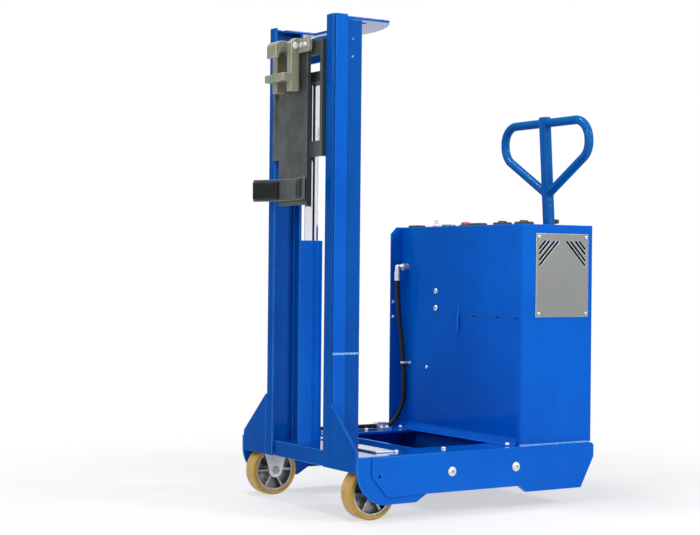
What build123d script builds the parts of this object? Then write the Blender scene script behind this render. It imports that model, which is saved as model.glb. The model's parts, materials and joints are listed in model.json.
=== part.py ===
from build123d import *
import os
from math import cos, pi, radians, sin, tan

os.makedirs("parts", exist_ok=True)

# Drum depalletizer, in millimetres.
# +X is the operator's left, -Y the front where drums are gripped, +Y the rear, +Z up from the floor.

# Fits and clearances
run_clear = 0.05       # radial gap of a shaft that turns in a bore
side_clear = 1.0       # gap beside a wheel, roller or jaw
roll_clear = 0.3       # gap between a roller and each channel flange
slide_clear = 0.3      # radial gap of a piston in its barrel
edge_flat = 1.0        # flat left beside a rounded sheet edge

# Wheels
wheel_d = 150.0
steer_wheel_d = 125.0
tyre_w = 50.0
tyre_t = 12.5
rim_t = 6.0
hub_boss_d = 44.0
hub_inset = 2.0
hub_web_t = 8.0
hub_ribs = 6
hub_rib_t = 7.0
hub_rib_inset = 5.0
rib_overlap = 4.0
axle_d = 16.0
axle_head_d = 26.0
axle_setback = 70.0
wheel_gap = 23.0
fork_gap = 3.0         # between a tyre's top and its fork's plate
arch_gap = 4.0
fork_t = 5.0
fork_plate_t = 6.0
fork_boss_r = 22.0
fork_top_w = 92.0
fork_leg_w = 74.0
fork_shoulder = 26.0

# Mast
mast_height = 1400.0
mast_width = 364.0
mast_depth = 96.0
mast_flange = 37.0
web_t = 6.0
flange_t = 8.0
doubler_w = 38.0
doubler_t = 4.0
doubler_r = 12.0
mast_bottom = 134.0
weld_z = 451.0
weld_w = 5.0
top_plate_t = 8.0
top_plate_drop = 4.0
top_plate_front = 36.0
top_plate_reach = 187.0
top_plate_bulge = 60.0
top_plate_notch = 136.0
cross_plate_h = 76.0
cross_plate_drop = 20.0

# Chassis
frame_width = 670.0
skirt_t = 5.0
side_t = 8.0
side_top = 179.0
top_flange_w = 107.0
top_flange_t = 8.0
side_length = 829.0
front_lobe_z = 45.0
front_lobe_rear = 193.0
front_round = 112.0
front_round_z = 141.0
notch_front = 230.0
notch_run = 26.0
notch_z = 67.0
rear_lobe_len = 206.0
tail_run = 49.0
rear_lobe_z = 48.0
tail_z = 138.0
tail_chamfer = 7.0
skirt_front = 45.0
skirt_corner_z = 125.0
skirt_corner_y = 95.0
bolt_y = (310.0, 536.0)
bolt_z = 124.0
bolt_head_d = 27.0
bolt_head_t = 5.0
side_hole_d = 9.0
side_hole_y = 69.0
beam_depth = 128.0
shoulder_t = 8.0
shoulder_top = 315.0
shoulder_end = 194.0
tray_t = 6.0
tray_setback = 300.0
tie_plate_t = 5.0
tie_plate_in = 115.0
tie_plate_out = 55.0
tie_plate_front = 2.0
tie_plate_rear = 29.0
flange_screw_inset = 50.0
left_screw_y = (168.0, 330.0)
right_screw_y = (250.0, 410.0)
foot_screw_back = 28.0
foot_screw_inset = (23.0, 47.0)
flange_screw_d = 13.0
flange_screw_t = 6.0

# Cabinet
cabinet_inset = 23.0
cabinet_depth = 261.0
cabinet_tail = 10.0
cabinet_top_z = 824.0
cabinet_wing = 43.0
bend_r = 6.0
corner_w = 14.0
corner_r = 10.0
wing_chamfer = 22.0
sheet_t = 3.0
seam_z = 545.0
seam_gap = 1.2
lap_below = 24.0
lap_above = 16.0
seam_notch_inset = (227.0, 114.0, 22.0)
seam_notch_w = 18.0
seam_notch_h = 5.0
panel_foot = 38.0
foot_r = 20.0
vent_back = 20.0
vent_z = 552.0
vent_w = 199.0
vent_h = 246.0
vent_t = 3.0
vent_hole = 184.0
vent_hole_h = 92.0
vent_slot_w = 6.5
vent_slot_margin = 13.0
vent_slot_top = 23.0
vent_slot_runs = (21.0, 36.0, 55.0, 70.0)
vent_screw_inset = 10.0
dome_bolt_inset = 197.0
dome_bolt_z = (621.0, 568.0)
dome_bolt_d = 18.0
panel_screw_inset = 151.0
panel_screw_z = 380.0
wing_screw_z = (582.0, 534.0)
small_screw_d = 11.0
screw_t = 4.0
mast_bolt_y = 64.0
mast_bolt_drop = (68.0, 117.0)
lug_x = 7.0
lug_w = 9.0
lug_out = 8.0
lug_top = 587.0
lug_low = 501.0

# Inside the cabinet
weight_gap = (22.0, 7.0, 3.0)
battery_share = 0.62   # of the width between the side flanges, the rest is the tank's
battery_d = 176.0
battery_h = 220.0
battery_post_inset = 36.0
battery_post_d = 14.0
battery_post_h = 14.0
tank_d = 190.0
tank_h = 150.0
motor_d = 104.0
motor_h = 190.0
load_gap = 12.0

# Lift ram and carriage
head_drop = 181.0
lift_up = 40.0
ram_y = 43.0
barrel_d = 66.0
barrel_bore = 56.0
barrel_foot_t = 20.0
gland_h = 40.0
rod_d = 40.0
piston_h = 30.0
piston_margin = 10.0
crosshead_h = 30.0
crosshead_depth = 60.0
cheek_x = 128.0
cheek_t = 12.0
cheek_front = -10.0
cheek_rear = 70.0
cheek_low = -215.0
cheek_high = 115.0
bar_h = 44.0
bar_t = 10.0
roller_w = 24.0
roller_pin_d = 25.0
roller_low = -170.0
roller_high = 66.0
spine_w = 160.0
spine_t = 12.0
spine_low = -350.0
spine_high = 125.0
rest_r = 252.0
rest_t = 8.0
rest_h = 64.0
rest_half_angle = 34.0
rest_rise = -305.0
pad_t = 6.0
pad_from = 12.0
pad_h = 50.0

# Rim gripper
grip_rise = 100.0
grip_plate_w = 212.0
grip_plate_h = 38.0
grip_plate_t = 12.0
grip_bar_x = 28.0
grip_bar_w = 26.0
grip_bar_depth = 26.0
grip_bar_len = 150.0
grip_bar_top = 22.0
grip_bolt_x = (72.0, 92.0)
grip_bolt_d = 15.0
grip_bolt_t = 7.0
grip_pin_d = 12.0
grip_pin_head = 20.0
grip_pin_head_t = 5.0
beak_boss_r = 15.0
beak_reach = 48.0
beak_nose = 30.0
beak_t = 18.0
lip_drop = 78.0
lip_h = 22.0
lip_reach = 26.0

# Steering and tiller
king_back = 101.0
king_d = 36.0
bush_d = 60.0
bush_low = 140.0
bush_high = 214.0
head_plate_w = 130.0
head_plate_t = 12.0
crown_t = 8.0
yoke_w = 70.0
yoke_ear_t = 14.0
tiller_pivot_back = 30.0
tiller_pivot_z = 262.0
tiller_pin_d = 16.0
tiller_lean = 3.5
stem_d = 38.0
loop_tube_d = 28.0
tiller_top = 1178.0
loop_width = 444.0
loop_height = 228.0
loop_corner = 60.0
loop_shoulder = 127.0
stem_rise = 6.0
knob_z = 844.0
knob_d = 16.0
knob_len = 20.0

# Controls on the cabinet's top
control_back = 57.0
switch_inset = (351.0, 165.0, 62.0)
meter_inset = 289.0
bezel = (50.0, 36.0, 9.0)
main_base = (22.0, 36.0, 5.0)
rocker_r = 6.0
rocker_w = 27.0
rocker_rise = 6.4
rocker_ridge = 1.0
gauge_inset = 182.0
gauge_d = 46.0
gauge_h = 7.0
key_inset = 115.0
key_barrel_d = 24.0
key_barrel_h = 8.0
key_size = (20.0, 2.5, 14.0)
key_stem_d = 8.0
socket_inset = 50.0
socket_back = 26.0
socket_size = (58.0, 34.0, 6.0)

# Hydraulic hose: each point is an inset from the right wall, a distance before the front panel, and
# a drop below the elbow (on the panel) or a rise above the side frame (at its foot)
hose_d = 14.0
hose_on_panel = ((35.0, 38.0, 44.0), (35.0, 37.0, 99.0), (36.0, 18.0, 256.0))
hose_at_foot = ((43.0, 12.0, 121.0), (33.0, 14.0, 64.0))
hose_run_inset = 16.0
hose_run_rise = 7.3
hose_run_start = 45.0
hose_run_end = 215.0   # behind the mast's front face
hose_cross_y = 114.0
hose_cross_rise = 17.5
hose_cross_end = 80.0
bend_share = 0.45      # of the shorter run beside a bend, taken up by its arc
elbow_z = 696.0
elbow_d = 15.0
elbow_nut_d = 22.0
ferrule_d = 18.0
band_z = 389.0
band_h = 6.0
band_t = 2.0
band_ear = 24.0
clip_back = (104.0, 70.0)
clip_t = 5.0
clip_foot = 30.0
clip_bolt_back = (97.0, 77.0)
port_z = 197.0
port_len = 30.0
port_d = 22.0

# Worked-out places. The footprint's middle is the origin, so the mast's front face is at mast_y.
wheel_r = wheel_d / 2
steer_r = steer_wheel_d / 2
king_y = side_length + king_back
nose_y = -(spine_t - cheek_front + grip_plate_t + grip_bar_depth / 2 + beak_reach)
rear_y = king_y + steer_r
mast_y = -(nose_y + rear_y) / 2
axle_y = mast_y + axle_setback
mast_x = mast_width / 2
flange_x = mast_x - mast_flange
side_x = frame_width / 2 - skirt_t
inner_x = side_x - side_t
flange_in = inner_x - top_flange_w
wall_x = frame_width / 2 - cabinet_inset
wheel_x = inner_x - wheel_gap - tyre_w / 2
fork_x = tyre_w / 2 + side_clear
fork_top = wheel_d + fork_gap
arch_z = fork_top + fork_plate_t
arch_x = wheel_x - fork_x - fork_t - arch_gap
rear_lobe_rear = side_length - tail_run
rear_lobe_front = rear_lobe_rear - rear_lobe_len
notch_rear = rear_lobe_front - notch_run
beam_top = side_top
tray_z = notch_z
barrel_z = beam_top
head_z = mast_height - head_drop
ram_dead = barrel_foot_t + lift_up + 3 * piston_margin + piston_h + gland_h
lift_down = (head_z - barrel_z - ram_dead) / 2
stroke = lift_down + lift_up
rod_len = stroke + 2 * piston_margin + piston_h + gland_h
barrel_len = barrel_foot_t + rod_len
grip_z = head_z + grip_rise
grip_y = mast_y + cheek_front - spine_t
pin_y = grip_y - grip_plate_t - grip_bar_depth / 2
roller_r = (mast_depth - 2 * flange_t) / 2 - roll_clear
roller_y = mast_y + mast_depth / 2
yoke_z = bush_high + side_clear
pivot_y = mast_y + king_y + tiller_pivot_back


def save(piece, name):
    """Label one finished piece and write it as its own file."""
    piece.label = name
    export_step(piece, f"parts/{name}.step")


def slab(x, y, z, mode=Mode.ADD):
    """A block between two corners, given as (low, high) pairs."""
    middle = ((x[0] + x[1]) / 2, (y[0] + y[1]) / 2, (z[0] + z[1]) / 2)
    with Locations(middle):
        Box(x[1] - x[0], y[1] - y[0], z[1] - z[0], mode=mode)


def pair(side, low, high):
    """The X range of a piece on one side: side is 1 for left, -1 for right."""
    return (low, high) if side > 0 else (-high, -low)


def button(position, axis, diameter, height):
    """A low domed head standing on a face."""
    plane = Plane(position, z_dir=axis)
    with BuildSketch(plane) as head:
        Circle(diameter / 2)
    extrude(head.sketch, amount=height, taper=12)


SIDES = (("left", 1), ("right", -1))


# Side frames: a thick web with a rolled-in top flange, and the skirt plate that covers it
def side_outline(front, lobes):
    """Outline of a side plate as a closed wire in Y and Z, from its top front corner."""
    rear = mast_y + side_length
    Line((mast_y + front, side_top), lobes[0])
    Polyline(
        lobes[-1],
        (mast_y + notch_rear, notch_z),
        (mast_y + rear_lobe_front, rear_lobe_z),
        (mast_y + rear_lobe_rear, rear_lobe_z),
        (rear, tail_z),
        (rear, side_top - tail_chamfer),
        (rear - tail_chamfer, side_top),
        (mast_y + front, side_top),
    )


def build_side_frame(side):
    with BuildPart() as frame:
        web_low = inner_x if side > 0 else -side_x
        with BuildSketch(Plane.YZ.offset(web_low)):
            with BuildLine():
                start = (mast_y, front_round_z)
                end = (mast_y + front_round, front_lobe_z)
                notch = (mast_y + notch_front, notch_z)
                side_outline(0, (start, notch))
                TangentArc(start, end, tangent=(0, -1))
                Polyline(end, (mast_y + front_lobe_rear, front_lobe_z), notch)
            make_face()
        extrude(amount=side_t)
        slab(
            pair(side, inner_x - top_flange_w, inner_x),
            (mast_y + beam_depth, mast_y + side_length - tail_chamfer),
            (side_top - top_flange_t, side_top),
        )
        with Locations(Plane.YZ.offset(web_low + side_t / 2)):
            with Locations((mast_y + side_hole_y, bolt_z)):
                Cylinder(side_hole_d / 2, 2 * side_t, mode=Mode.SUBTRACT)
    return frame.part


def build_side_skirt(side):
    with BuildPart() as skirt:
        skirt_low = side_x if side > 0 else -frame_width / 2
        with BuildSketch(Plane.YZ.offset(skirt_low)) as outline:
            with BuildLine():
                start = (mast_y + skirt_front, skirt_corner_z)
                notch = (mast_y + skirt_corner_y, notch_z)
                side_outline(skirt_front, (start, notch))
                Line(start, notch)
            make_face()
            with Locations((mast_y + side_hole_y, bolt_z)):
                Circle(side_hole_d / 2, mode=Mode.SUBTRACT)
        extrude(amount=skirt_t)
        outer = skirt.faces().sort_by(Axis.X)[-1 if side > 0 else 0]
        fillet(outer.edges().filter_by(Axis.Y).sort_by(Axis.Z)[-1], skirt_t - edge_flat)
    return skirt.part


for hand, side in SIDES:
    save(build_side_frame(side), f"side_frame_{hand}")
    save(build_side_skirt(side), f"side_skirt_{hand}")


# Front beam: a deep bar across the chassis, notched where the mast channels stand and arched over the wheels
with BuildPart() as front_beam:
    slab((-inner_x, inner_x), (mast_y + shoulder_t, mast_y + beam_depth), (mast_bottom, beam_top))
    for side in (1, -1):
        slab(
            pair(side, flange_x, mast_x + doubler_t),
            (mast_y, mast_y + mast_depth),
            (mast_bottom, beam_top),
            mode=Mode.SUBTRACT,
        )
        slab(
            pair(side, arch_x, inner_x),
            (mast_y + shoulder_t, mast_y + beam_depth),
            (mast_bottom, arch_z),
            mode=Mode.SUBTRACT,
        )
save(front_beam.part, "front_beam")


# Shoulder plates: sloped front plates from the mast out to the side frames
with BuildPart() as shoulder_plates:
    for side in (1, -1):
        with BuildSketch(Plane.XZ.offset(-mast_y)):
            with BuildLine():
                Polyline(
                    (side * (mast_x + doubler_t), mast_bottom),
                    (side * inner_x, mast_bottom),
                    (side * inner_x, shoulder_end),
                    (side * (mast_x + doubler_t), shoulder_top),
                    close=True,
                )
            make_face()
    extrude(amount=-shoulder_t)
save(shoulder_plates.part, "shoulder_plates")


# Chassis tray: one folded sheet, with a front wall behind the beam and a rear wall along the frames' tails
with BuildPart() as chassis_tray:
    tray_front = mast_y + tray_setback
    tray_rear = mast_y + side_length
    tray_top = side_top - top_flange_t
    tail_slope = (side_length - rear_lobe_rear) / (tail_z - rear_lobe_z)
    with BuildSketch(Plane.YZ.offset(-inner_x)):
        with BuildLine():
            Polyline(
                (tray_front, tray_top),
                (tray_front, tray_z),
                (mast_y + rear_lobe_rear + (tray_z - rear_lobe_z) * tail_slope, tray_z),
                (tray_rear, tail_z),
                (tray_rear, tray_top),
            )
            offset(amount=tray_t, side=Side.LEFT, kind=Kind.INTERSECTION)
        make_face()
    extrude(amount=2 * inner_x)
save(chassis_tray.part, "chassis_tray")


# Mast channels open towards each other, so that the rollers run between their flanges
for hand, side in SIDES:
    with BuildPart() as mast_channel:
        slab(pair(side, flange_x, mast_x), (mast_y, mast_y + mast_depth), (mast_bottom, mast_height))
        slab(
            pair(side, flange_x, mast_x - web_t),
            (mast_y + flange_t, mast_y + mast_depth - flange_t),
            (mast_bottom, mast_height),
            mode=Mode.SUBTRACT,
        )
        corner = mast_channel.edges().filter_by(Axis.Z).group_by(Axis.Y)[0].sort_by(Axis.X)
        fillet(corner[-1] if side > 0 else corner[0], flange_t - edge_flat)
        slab(
            pair(side, flange_x, mast_x),
            (mast_y + top_plate_front, mast_y + mast_depth),
            (mast_height - top_plate_drop - top_plate_t, mast_height),
            mode=Mode.SUBTRACT,
        )
    save(mast_channel.part, f"mast_channel_{hand}")


# Doublers: strips welded outside the channels, with a rounded top front corner and a weld seam
with BuildPart() as mast_doublers:
    strip_y = mast_y + flange_t + doubler_w / 2
    for side in (1, -1):
        strip_low = mast_x if side > 0 else -mast_x - doubler_t
        with BuildSketch(Plane.YZ.offset(strip_low)) as strip:
            with Locations((strip_y, (mast_bottom + mast_height) / 2)):
                Rectangle(doubler_w, mast_height - mast_bottom)
            fillet(strip.vertices().group_by(Axis.Z)[-1].sort_by(Axis.Y)[0], doubler_r)
        extrude(amount=doubler_t)
        with Locations((side * (mast_x + doubler_t), strip_y, weld_z)):
            Cylinder(weld_w / 2, doubler_w, rotation=(90, 0, 0))
save(mast_doublers.part, "mast_doublers")


# Top plate: let into the channels' tops, open between them, with a bowed rear edge over the hoses
with BuildPart() as mast_top_plate:
    with BuildSketch(Plane.XY.offset(mast_height - top_plate_drop - top_plate_t)):
        with BuildLine():
            near_front = (mast_x, mast_y + top_plate_front)
            near_rear = (mast_x, mast_y + top_plate_reach)
            far_front = (-mast_x, mast_y + top_plate_front)
            far_rear = (-mast_x, mast_y + top_plate_reach)
            notch = [
                (flange_x, mast_y + top_plate_front),
                (flange_x, mast_y + top_plate_notch),
                (-flange_x, mast_y + top_plate_notch),
                (-flange_x, mast_y + top_plate_front),
            ]
            Polyline(near_rear, near_front, *notch, far_front, far_rear)
            ThreePointArc(far_rear, (0, mast_y + top_plate_reach + top_plate_bulge), near_rear)
        make_face()
    extrude(amount=top_plate_t)
save(mast_top_plate.part, "mast_top_plate")


# Cross plate: ties the rear flanges of the two channels together, under the top plate
with BuildPart() as mast_cross_plate:
    cross_top = mast_height - top_plate_drop - top_plate_t - cross_plate_drop
    slab(
        (-flange_x, flange_x),
        (mast_y + mast_depth - flange_t, mast_y + mast_depth),
        (cross_top - cross_plate_h, cross_top),
    )
save(mast_cross_plate.part, "mast_cross_plate")


# Tie plates: bare plates bolted across the front beam and each side frame's top flange
with BuildPart() as tie_plates:
    for side in (1, -1):
        slab(
            pair(side, flange_in - tie_plate_in, flange_in + tie_plate_out),
            (mast_y + mast_depth + tie_plate_front, mast_y + beam_depth + tie_plate_rear),
            (side_top, side_top + tie_plate_t),
        )
save(tie_plates.part, "tie_plates")


# Lift ram: a closed barrel with a gland at its top, and the rod with its piston
with BuildPart() as ram_barrel:
    with BuildSketch(Plane.XZ.offset(-mast_y - ram_y)):
        with BuildLine():
            Polyline(
                (0, barrel_z),
                (barrel_d / 2, barrel_z),
                (barrel_d / 2, barrel_z + barrel_len),
                (rod_d / 2 + run_clear, barrel_z + barrel_len),
                (rod_d / 2 + run_clear, barrel_z + barrel_len - gland_h),
                (barrel_bore / 2, barrel_z + barrel_len - gland_h),
                (barrel_bore / 2, barrel_z + barrel_foot_t),
                (0, barrel_z + barrel_foot_t),
                close=True,
            )
        make_face()
    revolve(axis=Axis((0, mast_y + ram_y, 0), (0, 0, 1)))
save(ram_barrel.part, "ram_barrel")

with BuildPart() as ram_rod:
    rod_bottom = head_z - rod_len
    with BuildSketch(Plane.XZ.offset(-mast_y - ram_y)):
        with BuildLine():
            Polyline(
                (0, rod_bottom),
                (barrel_bore / 2 - slide_clear, rod_bottom),
                (barrel_bore / 2 - slide_clear, rod_bottom + piston_h),
                (rod_d / 2, rod_bottom + piston_h),
                (rod_d / 2, head_z),
                (0, head_z),
                close=True,
            )
        make_face()
    revolve(axis=Axis((0, mast_y + ram_y, 0), (0, 0, 1)))
save(ram_rod.part, "ram_rod")


# Carriage: two cheeks between the channels, tied by bars in front of the ram and a crosshead on its rod
with BuildPart() as carriage_frame:
    cheek_y = (mast_y + cheek_front, mast_y + cheek_rear)
    for side in (1, -1):
        slab(pair(side, cheek_x, cheek_x + cheek_t), cheek_y, (head_z + cheek_low, head_z + cheek_high))
    slab(
        (-cheek_x, cheek_x),
        (mast_y + ram_y - crosshead_depth / 2, mast_y + ram_y + crosshead_depth / 2),
        (head_z, head_z + crosshead_h),
    )
    for bar_z in (head_z + cheek_low, head_z + cheek_high - bar_h):
        slab((-cheek_x, cheek_x), (cheek_y[0], cheek_y[0] + bar_t), (bar_z, bar_z + bar_h))
    slab(
        (-spine_w / 2, spine_w / 2),
        (cheek_y[0] - spine_t, cheek_y[0]),
        (head_z + spine_low, head_z + spine_high),
    )
save(carriage_frame.part, "carriage_frame")


# Rollers on stub pins that stand out of the cheeks into the channels
pin_out = cheek_x + cheek_t
roller_x = pin_out + side_clear
with BuildPart() as roller_pins:
    for side in (1, -1):
        for rise in (roller_low, roller_high):
            middle = side * (pin_out + (roller_w + 2 * side_clear) / 2)
            with Locations((middle, roller_y, head_z + rise)):
                Cylinder(roller_pin_d / 2, roller_w + 2 * side_clear, rotation=(0, 90, 0))
save(roller_pins.part, "roller_pins")

for level, rise in (("lower", roller_low), ("upper", roller_high)):
    for hand, side in SIDES:
        with BuildPart() as roller:
            with Locations((side * (roller_x + roller_w / 2), roller_y, head_z + rise)):
                Cylinder(roller_r, roller_w, rotation=(0, 90, 0))
                Cylinder(roller_pin_d / 2 + run_clear, roller_w, rotation=(0, 90, 0), mode=Mode.SUBTRACT)
        save(roller.part, f"roller_{level}_{hand}")


# Drum rest: a curved saddle on the spine's foot, with rubber pads that the drum's wall leans on
def saddle(inner_r, thickness, height, from_angle, to_angle, z):
    """A vertical arc strip, hollow towards the front, between two angles from the middle."""
    centre_y = grip_y - rest_t - rest_r
    with BuildSketch(Plane.XY.offset(z)) as strip:
        with BuildLine():
            ends = []
            for radius in (inner_r, inner_r + thickness):
                at = []
                for angle in (from_angle, (from_angle + to_angle) / 2, to_angle):
                    turn = radians(angle)
                    at.append((radius * sin(turn), centre_y + radius * cos(turn)))
                ThreePointArc(*at)
                ends.append(at)
            Line(ends[0][0], ends[1][0])
            Line(ends[0][2], ends[1][2])
        make_face()
    extrude(strip.sketch, amount=height)


with BuildPart() as drum_rest:
    saddle(rest_r, rest_t, rest_h, -rest_half_angle, rest_half_angle, head_z + rest_rise - rest_h / 2)
save(drum_rest.part, "drum_rest")

with BuildPart() as rest_pads:
    for low, high in ((-rest_half_angle, -pad_from), (pad_from, rest_half_angle)):
        saddle(rest_r - pad_t, pad_t, pad_h, low, high, head_z + rest_rise - pad_h / 2)
save(rest_pads.part, "rest_pads")


# Rim gripper: a bolted head with two bars, a lower lip under the rim and a hinged beak above it
bar_y = (grip_y - grip_plate_t - grip_bar_depth, grip_y - grip_plate_t)
with BuildPart() as gripper_frame:
    with BuildSketch(Plane.XZ.offset(-grip_y)):
        with Locations((0, grip_z)):
            RectangleRounded(grip_plate_w, grip_plate_h, grip_plate_h / 4)
    extrude(amount=grip_plate_t)
    for side in (1, -1):
        slab(
            pair(side, grip_bar_x, grip_bar_x + grip_bar_w),
            bar_y,
            (grip_z + grip_bar_top - grip_bar_len, grip_z + grip_bar_top),
        )
    top_front = gripper_frame.edges().filter_by(Axis.X).group_by(Axis.Z)[-1].sort_by(Axis.Y)
    chamfer(top_front[0:2], grip_bar_depth / 2)
    lip_top = grip_z - lip_drop
    slab(
        (-grip_bar_x - grip_bar_w, grip_bar_x + grip_bar_w),
        (bar_y[0] - lip_reach, bar_y[0]),
        (lip_top - lip_h, lip_top),
    )
    with Locations((0, pin_y, grip_z)):
        Cylinder(grip_pin_d / 2, grip_plate_w, rotation=(0, 90, 0), mode=Mode.SUBTRACT)
save(gripper_frame.part, "gripper_frame")

beak_half = grip_bar_x - side_clear
with BuildPart() as gripper_beak:
    with BuildSketch(Plane.YZ.offset(-beak_half)):
        with BuildLine():
            tip_y = pin_y - beak_reach
            knee_z = grip_z + beak_boss_r - beak_t
            root_y = pin_y - beak_boss_r / 2
            top = Line((root_y, grip_z + beak_boss_r), (tip_y + beak_t, grip_z + beak_boss_r))
            nose = TangentArc(top @ 1, (tip_y, knee_z), tangent=(-1, 0))
            Polyline(
                nose @ 1,
                (tip_y, knee_z - beak_nose),
                (tip_y + beak_t / 2, knee_z - beak_nose),
                (tip_y + beak_t, knee_z),
                (root_y, knee_z),
                top @ 0,
            )
        make_face()
    extrude(amount=2 * beak_half)
    with Locations((0, pin_y, grip_z)):
        Cylinder(grip_bar_depth / 2 - side_clear, 2 * beak_half, rotation=(0, 90, 0))
        Cylinder(grip_pin_d / 2 + run_clear, 2 * beak_half, rotation=(0, 90, 0), mode=Mode.SUBTRACT)
save(gripper_beak.part, "gripper_beak")

# Gripper fasteners: the beak's pin with a head at each end, and the bolts that hold the head to the spine
with BuildPart() as gripper_fasteners:
    pin_half = grip_bar_x + grip_bar_w
    with Locations((0, pin_y, grip_z)):
        Cylinder(grip_pin_d / 2, 2 * pin_half, rotation=(0, 90, 0))
    for side in (1, -1):
        with Locations((side * (pin_half + grip_pin_head_t / 2), pin_y, grip_z)):
            Cylinder(grip_pin_head / 2, grip_pin_head_t, rotation=(0, 90, 0))
        for x in grip_bolt_x:
            button((side * x, grip_y - grip_plate_t, grip_z), (0, -1, 0), grip_bolt_d, grip_bolt_t)
save(gripper_fasteners.part, "gripper_fasteners")


# Front castors: pressed forks in the front beam's arches, each with an axle bolt
def fork_leg(x_low, centre_y, axle_z, top_w, top_z):
    """One tapered fork leg with a round end about the axle."""
    with BuildSketch(Plane.YZ.offset(x_low)) as leg:
        with BuildLine():
            boss = ThreePointArc(
                (centre_y - fork_boss_r, axle_z),
                (centre_y, axle_z - fork_boss_r),
                (centre_y + fork_boss_r, axle_z),
            )
            Polyline(
                boss @ 1,
                (centre_y + top_w / 2, top_z - fork_shoulder),
                (centre_y + top_w / 2, top_z),
                (centre_y - top_w / 2, top_z),
                (centre_y - top_w / 2, top_z - fork_shoulder),
                boss @ 0,
            )
        make_face()
        with Locations((centre_y, axle_z)):
            Circle(axle_d / 2, mode=Mode.SUBTRACT)
    extrude(leg.sketch, amount=fork_t)


def axle_bolt(x, y, z, half_len):
    """An axle with a round head outside each fork leg."""
    with Locations((x, y, z)):
        Cylinder(axle_d / 2, 2 * half_len, rotation=(0, 90, 0))
    for end in (1, -1):
        with Locations((x + end * (half_len + fork_t / 2), y, z)):
            Cylinder(axle_head_d / 2, fork_t, rotation=(0, 90, 0))


with BuildPart() as castor_forks:
    for side in (1, -1):
        centre = side * wheel_x
        slab(
            (centre - fork_x - fork_t, centre + fork_x + fork_t),
            (axle_y - fork_top_w / 2, axle_y + fork_top_w / 2),
            (fork_top, arch_z),
        )
        fork_leg(centre + fork_x, axle_y, wheel_r, fork_leg_w, fork_top)
        fork_leg(centre - fork_x - fork_t, axle_y, wheel_r, fork_leg_w, fork_top)
save(castor_forks.part, "castor_forks")

with BuildPart() as castor_axles:
    for side in (1, -1):
        axle_bolt(side * wheel_x, axle_y, wheel_r, fork_x + fork_t)
save(castor_axles.part, "castor_axles")


# Wheels: a cast hub with a thin web and ribs on both sides, and a bonded tyre with a rounded tread
def build_hub(x, y, radius):
    rim_r = radius - tyre_t
    rim_in = rim_r - rim_t
    boss_r = hub_boss_d / 2
    hub_w = tyre_w - 2 * hub_inset
    rib_w = hub_w - 2 * hub_rib_inset
    with BuildPart() as hub:
        with Locations((x, y, radius)):
            Cylinder(rim_r, hub_w, rotation=(0, 90, 0))
            Cylinder(rim_in, hub_w, rotation=(0, 90, 0), mode=Mode.SUBTRACT)
            Cylinder(rim_in, hub_web_t, rotation=(0, 90, 0))
            Cylinder(boss_r, tyre_w, rotation=(0, 90, 0))
        with BuildSketch(Plane.YZ.offset(x - rib_w / 2)):
            with Locations((y, radius)):
                with PolarLocations((boss_r + rim_in) / 2, hub_ribs):
                    Rectangle(rim_in - boss_r + 2 * rib_overlap, hub_rib_t)
        extrude(amount=rib_w)
        with Locations((x, y, radius)):
            Cylinder(axle_d / 2 + run_clear, tyre_w, rotation=(0, 90, 0), mode=Mode.SUBTRACT)
    return hub.part


def build_tyre(x, y, radius):
    with BuildPart() as tyre:
        with Locations((x, y, radius)):
            Cylinder(radius, tyre_w, rotation=(0, 90, 0))
        fillet(tyre.edges().filter_by(GeomType.CIRCLE), tyre_t / 2)
        with Locations((x, y, radius)):
            Cylinder(radius - tyre_t, tyre_w, rotation=(0, 90, 0), mode=Mode.SUBTRACT)
    return tyre.part


for hand, side in SIDES:
    save(build_hub(side * wheel_x, axle_y, wheel_r), f"wheel_hub_{hand}")
    save(build_tyre(side * wheel_x, axle_y, wheel_r), f"wheel_tyre_{hand}")

rear_wheel_y = mast_y + king_y
save(build_hub(0, rear_wheel_y, steer_r), "steer_wheel_hub")
save(build_tyre(0, rear_wheel_y, steer_r), "steer_wheel_tyre")


# Steering head: a plate and bush behind the chassis, and the fork whose kingpin turns in it
with BuildPart() as steer_head:
    head_low = (bush_low + bush_high - head_plate_t) / 2
    slab(
        (-head_plate_w / 2, head_plate_w / 2),
        (mast_y + side_length, rear_wheel_y),
        (head_low, head_low + head_plate_t),
    )
    with Locations((0, rear_wheel_y, (bush_low + bush_high) / 2)):
        Cylinder(bush_d / 2, bush_high - bush_low)
        Cylinder(king_d / 2 + run_clear, bush_high - bush_low, mode=Mode.SUBTRACT)
    for side in (1, -1):
        slab(
            pair(side, head_plate_w / 2 - head_plate_t, head_plate_w / 2),
            (mast_y + side_length, rear_wheel_y - bush_d),
            (bush_low, head_low),
        )
save(steer_head.part, "steer_head")

with BuildPart() as steer_fork:
    crown_low = bush_low - side_clear - crown_t
    slab(
        (-fork_x - fork_t, fork_x + fork_t),
        (rear_wheel_y - fork_boss_r, rear_wheel_y + fork_boss_r),
        (crown_low, crown_low + crown_t),
    )
    fork_leg(fork_x, rear_wheel_y, steer_r, 2 * fork_boss_r, crown_low)
    fork_leg(-fork_x - fork_t, rear_wheel_y, steer_r, 2 * fork_boss_r, crown_low)
    king_top = yoke_z + yoke_ear_t
    with Locations((0, rear_wheel_y, (crown_low + crown_t + king_top) / 2)):
        Cylinder(king_d / 2, king_top - crown_low - crown_t)
save(steer_fork.part, "steer_fork")

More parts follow.
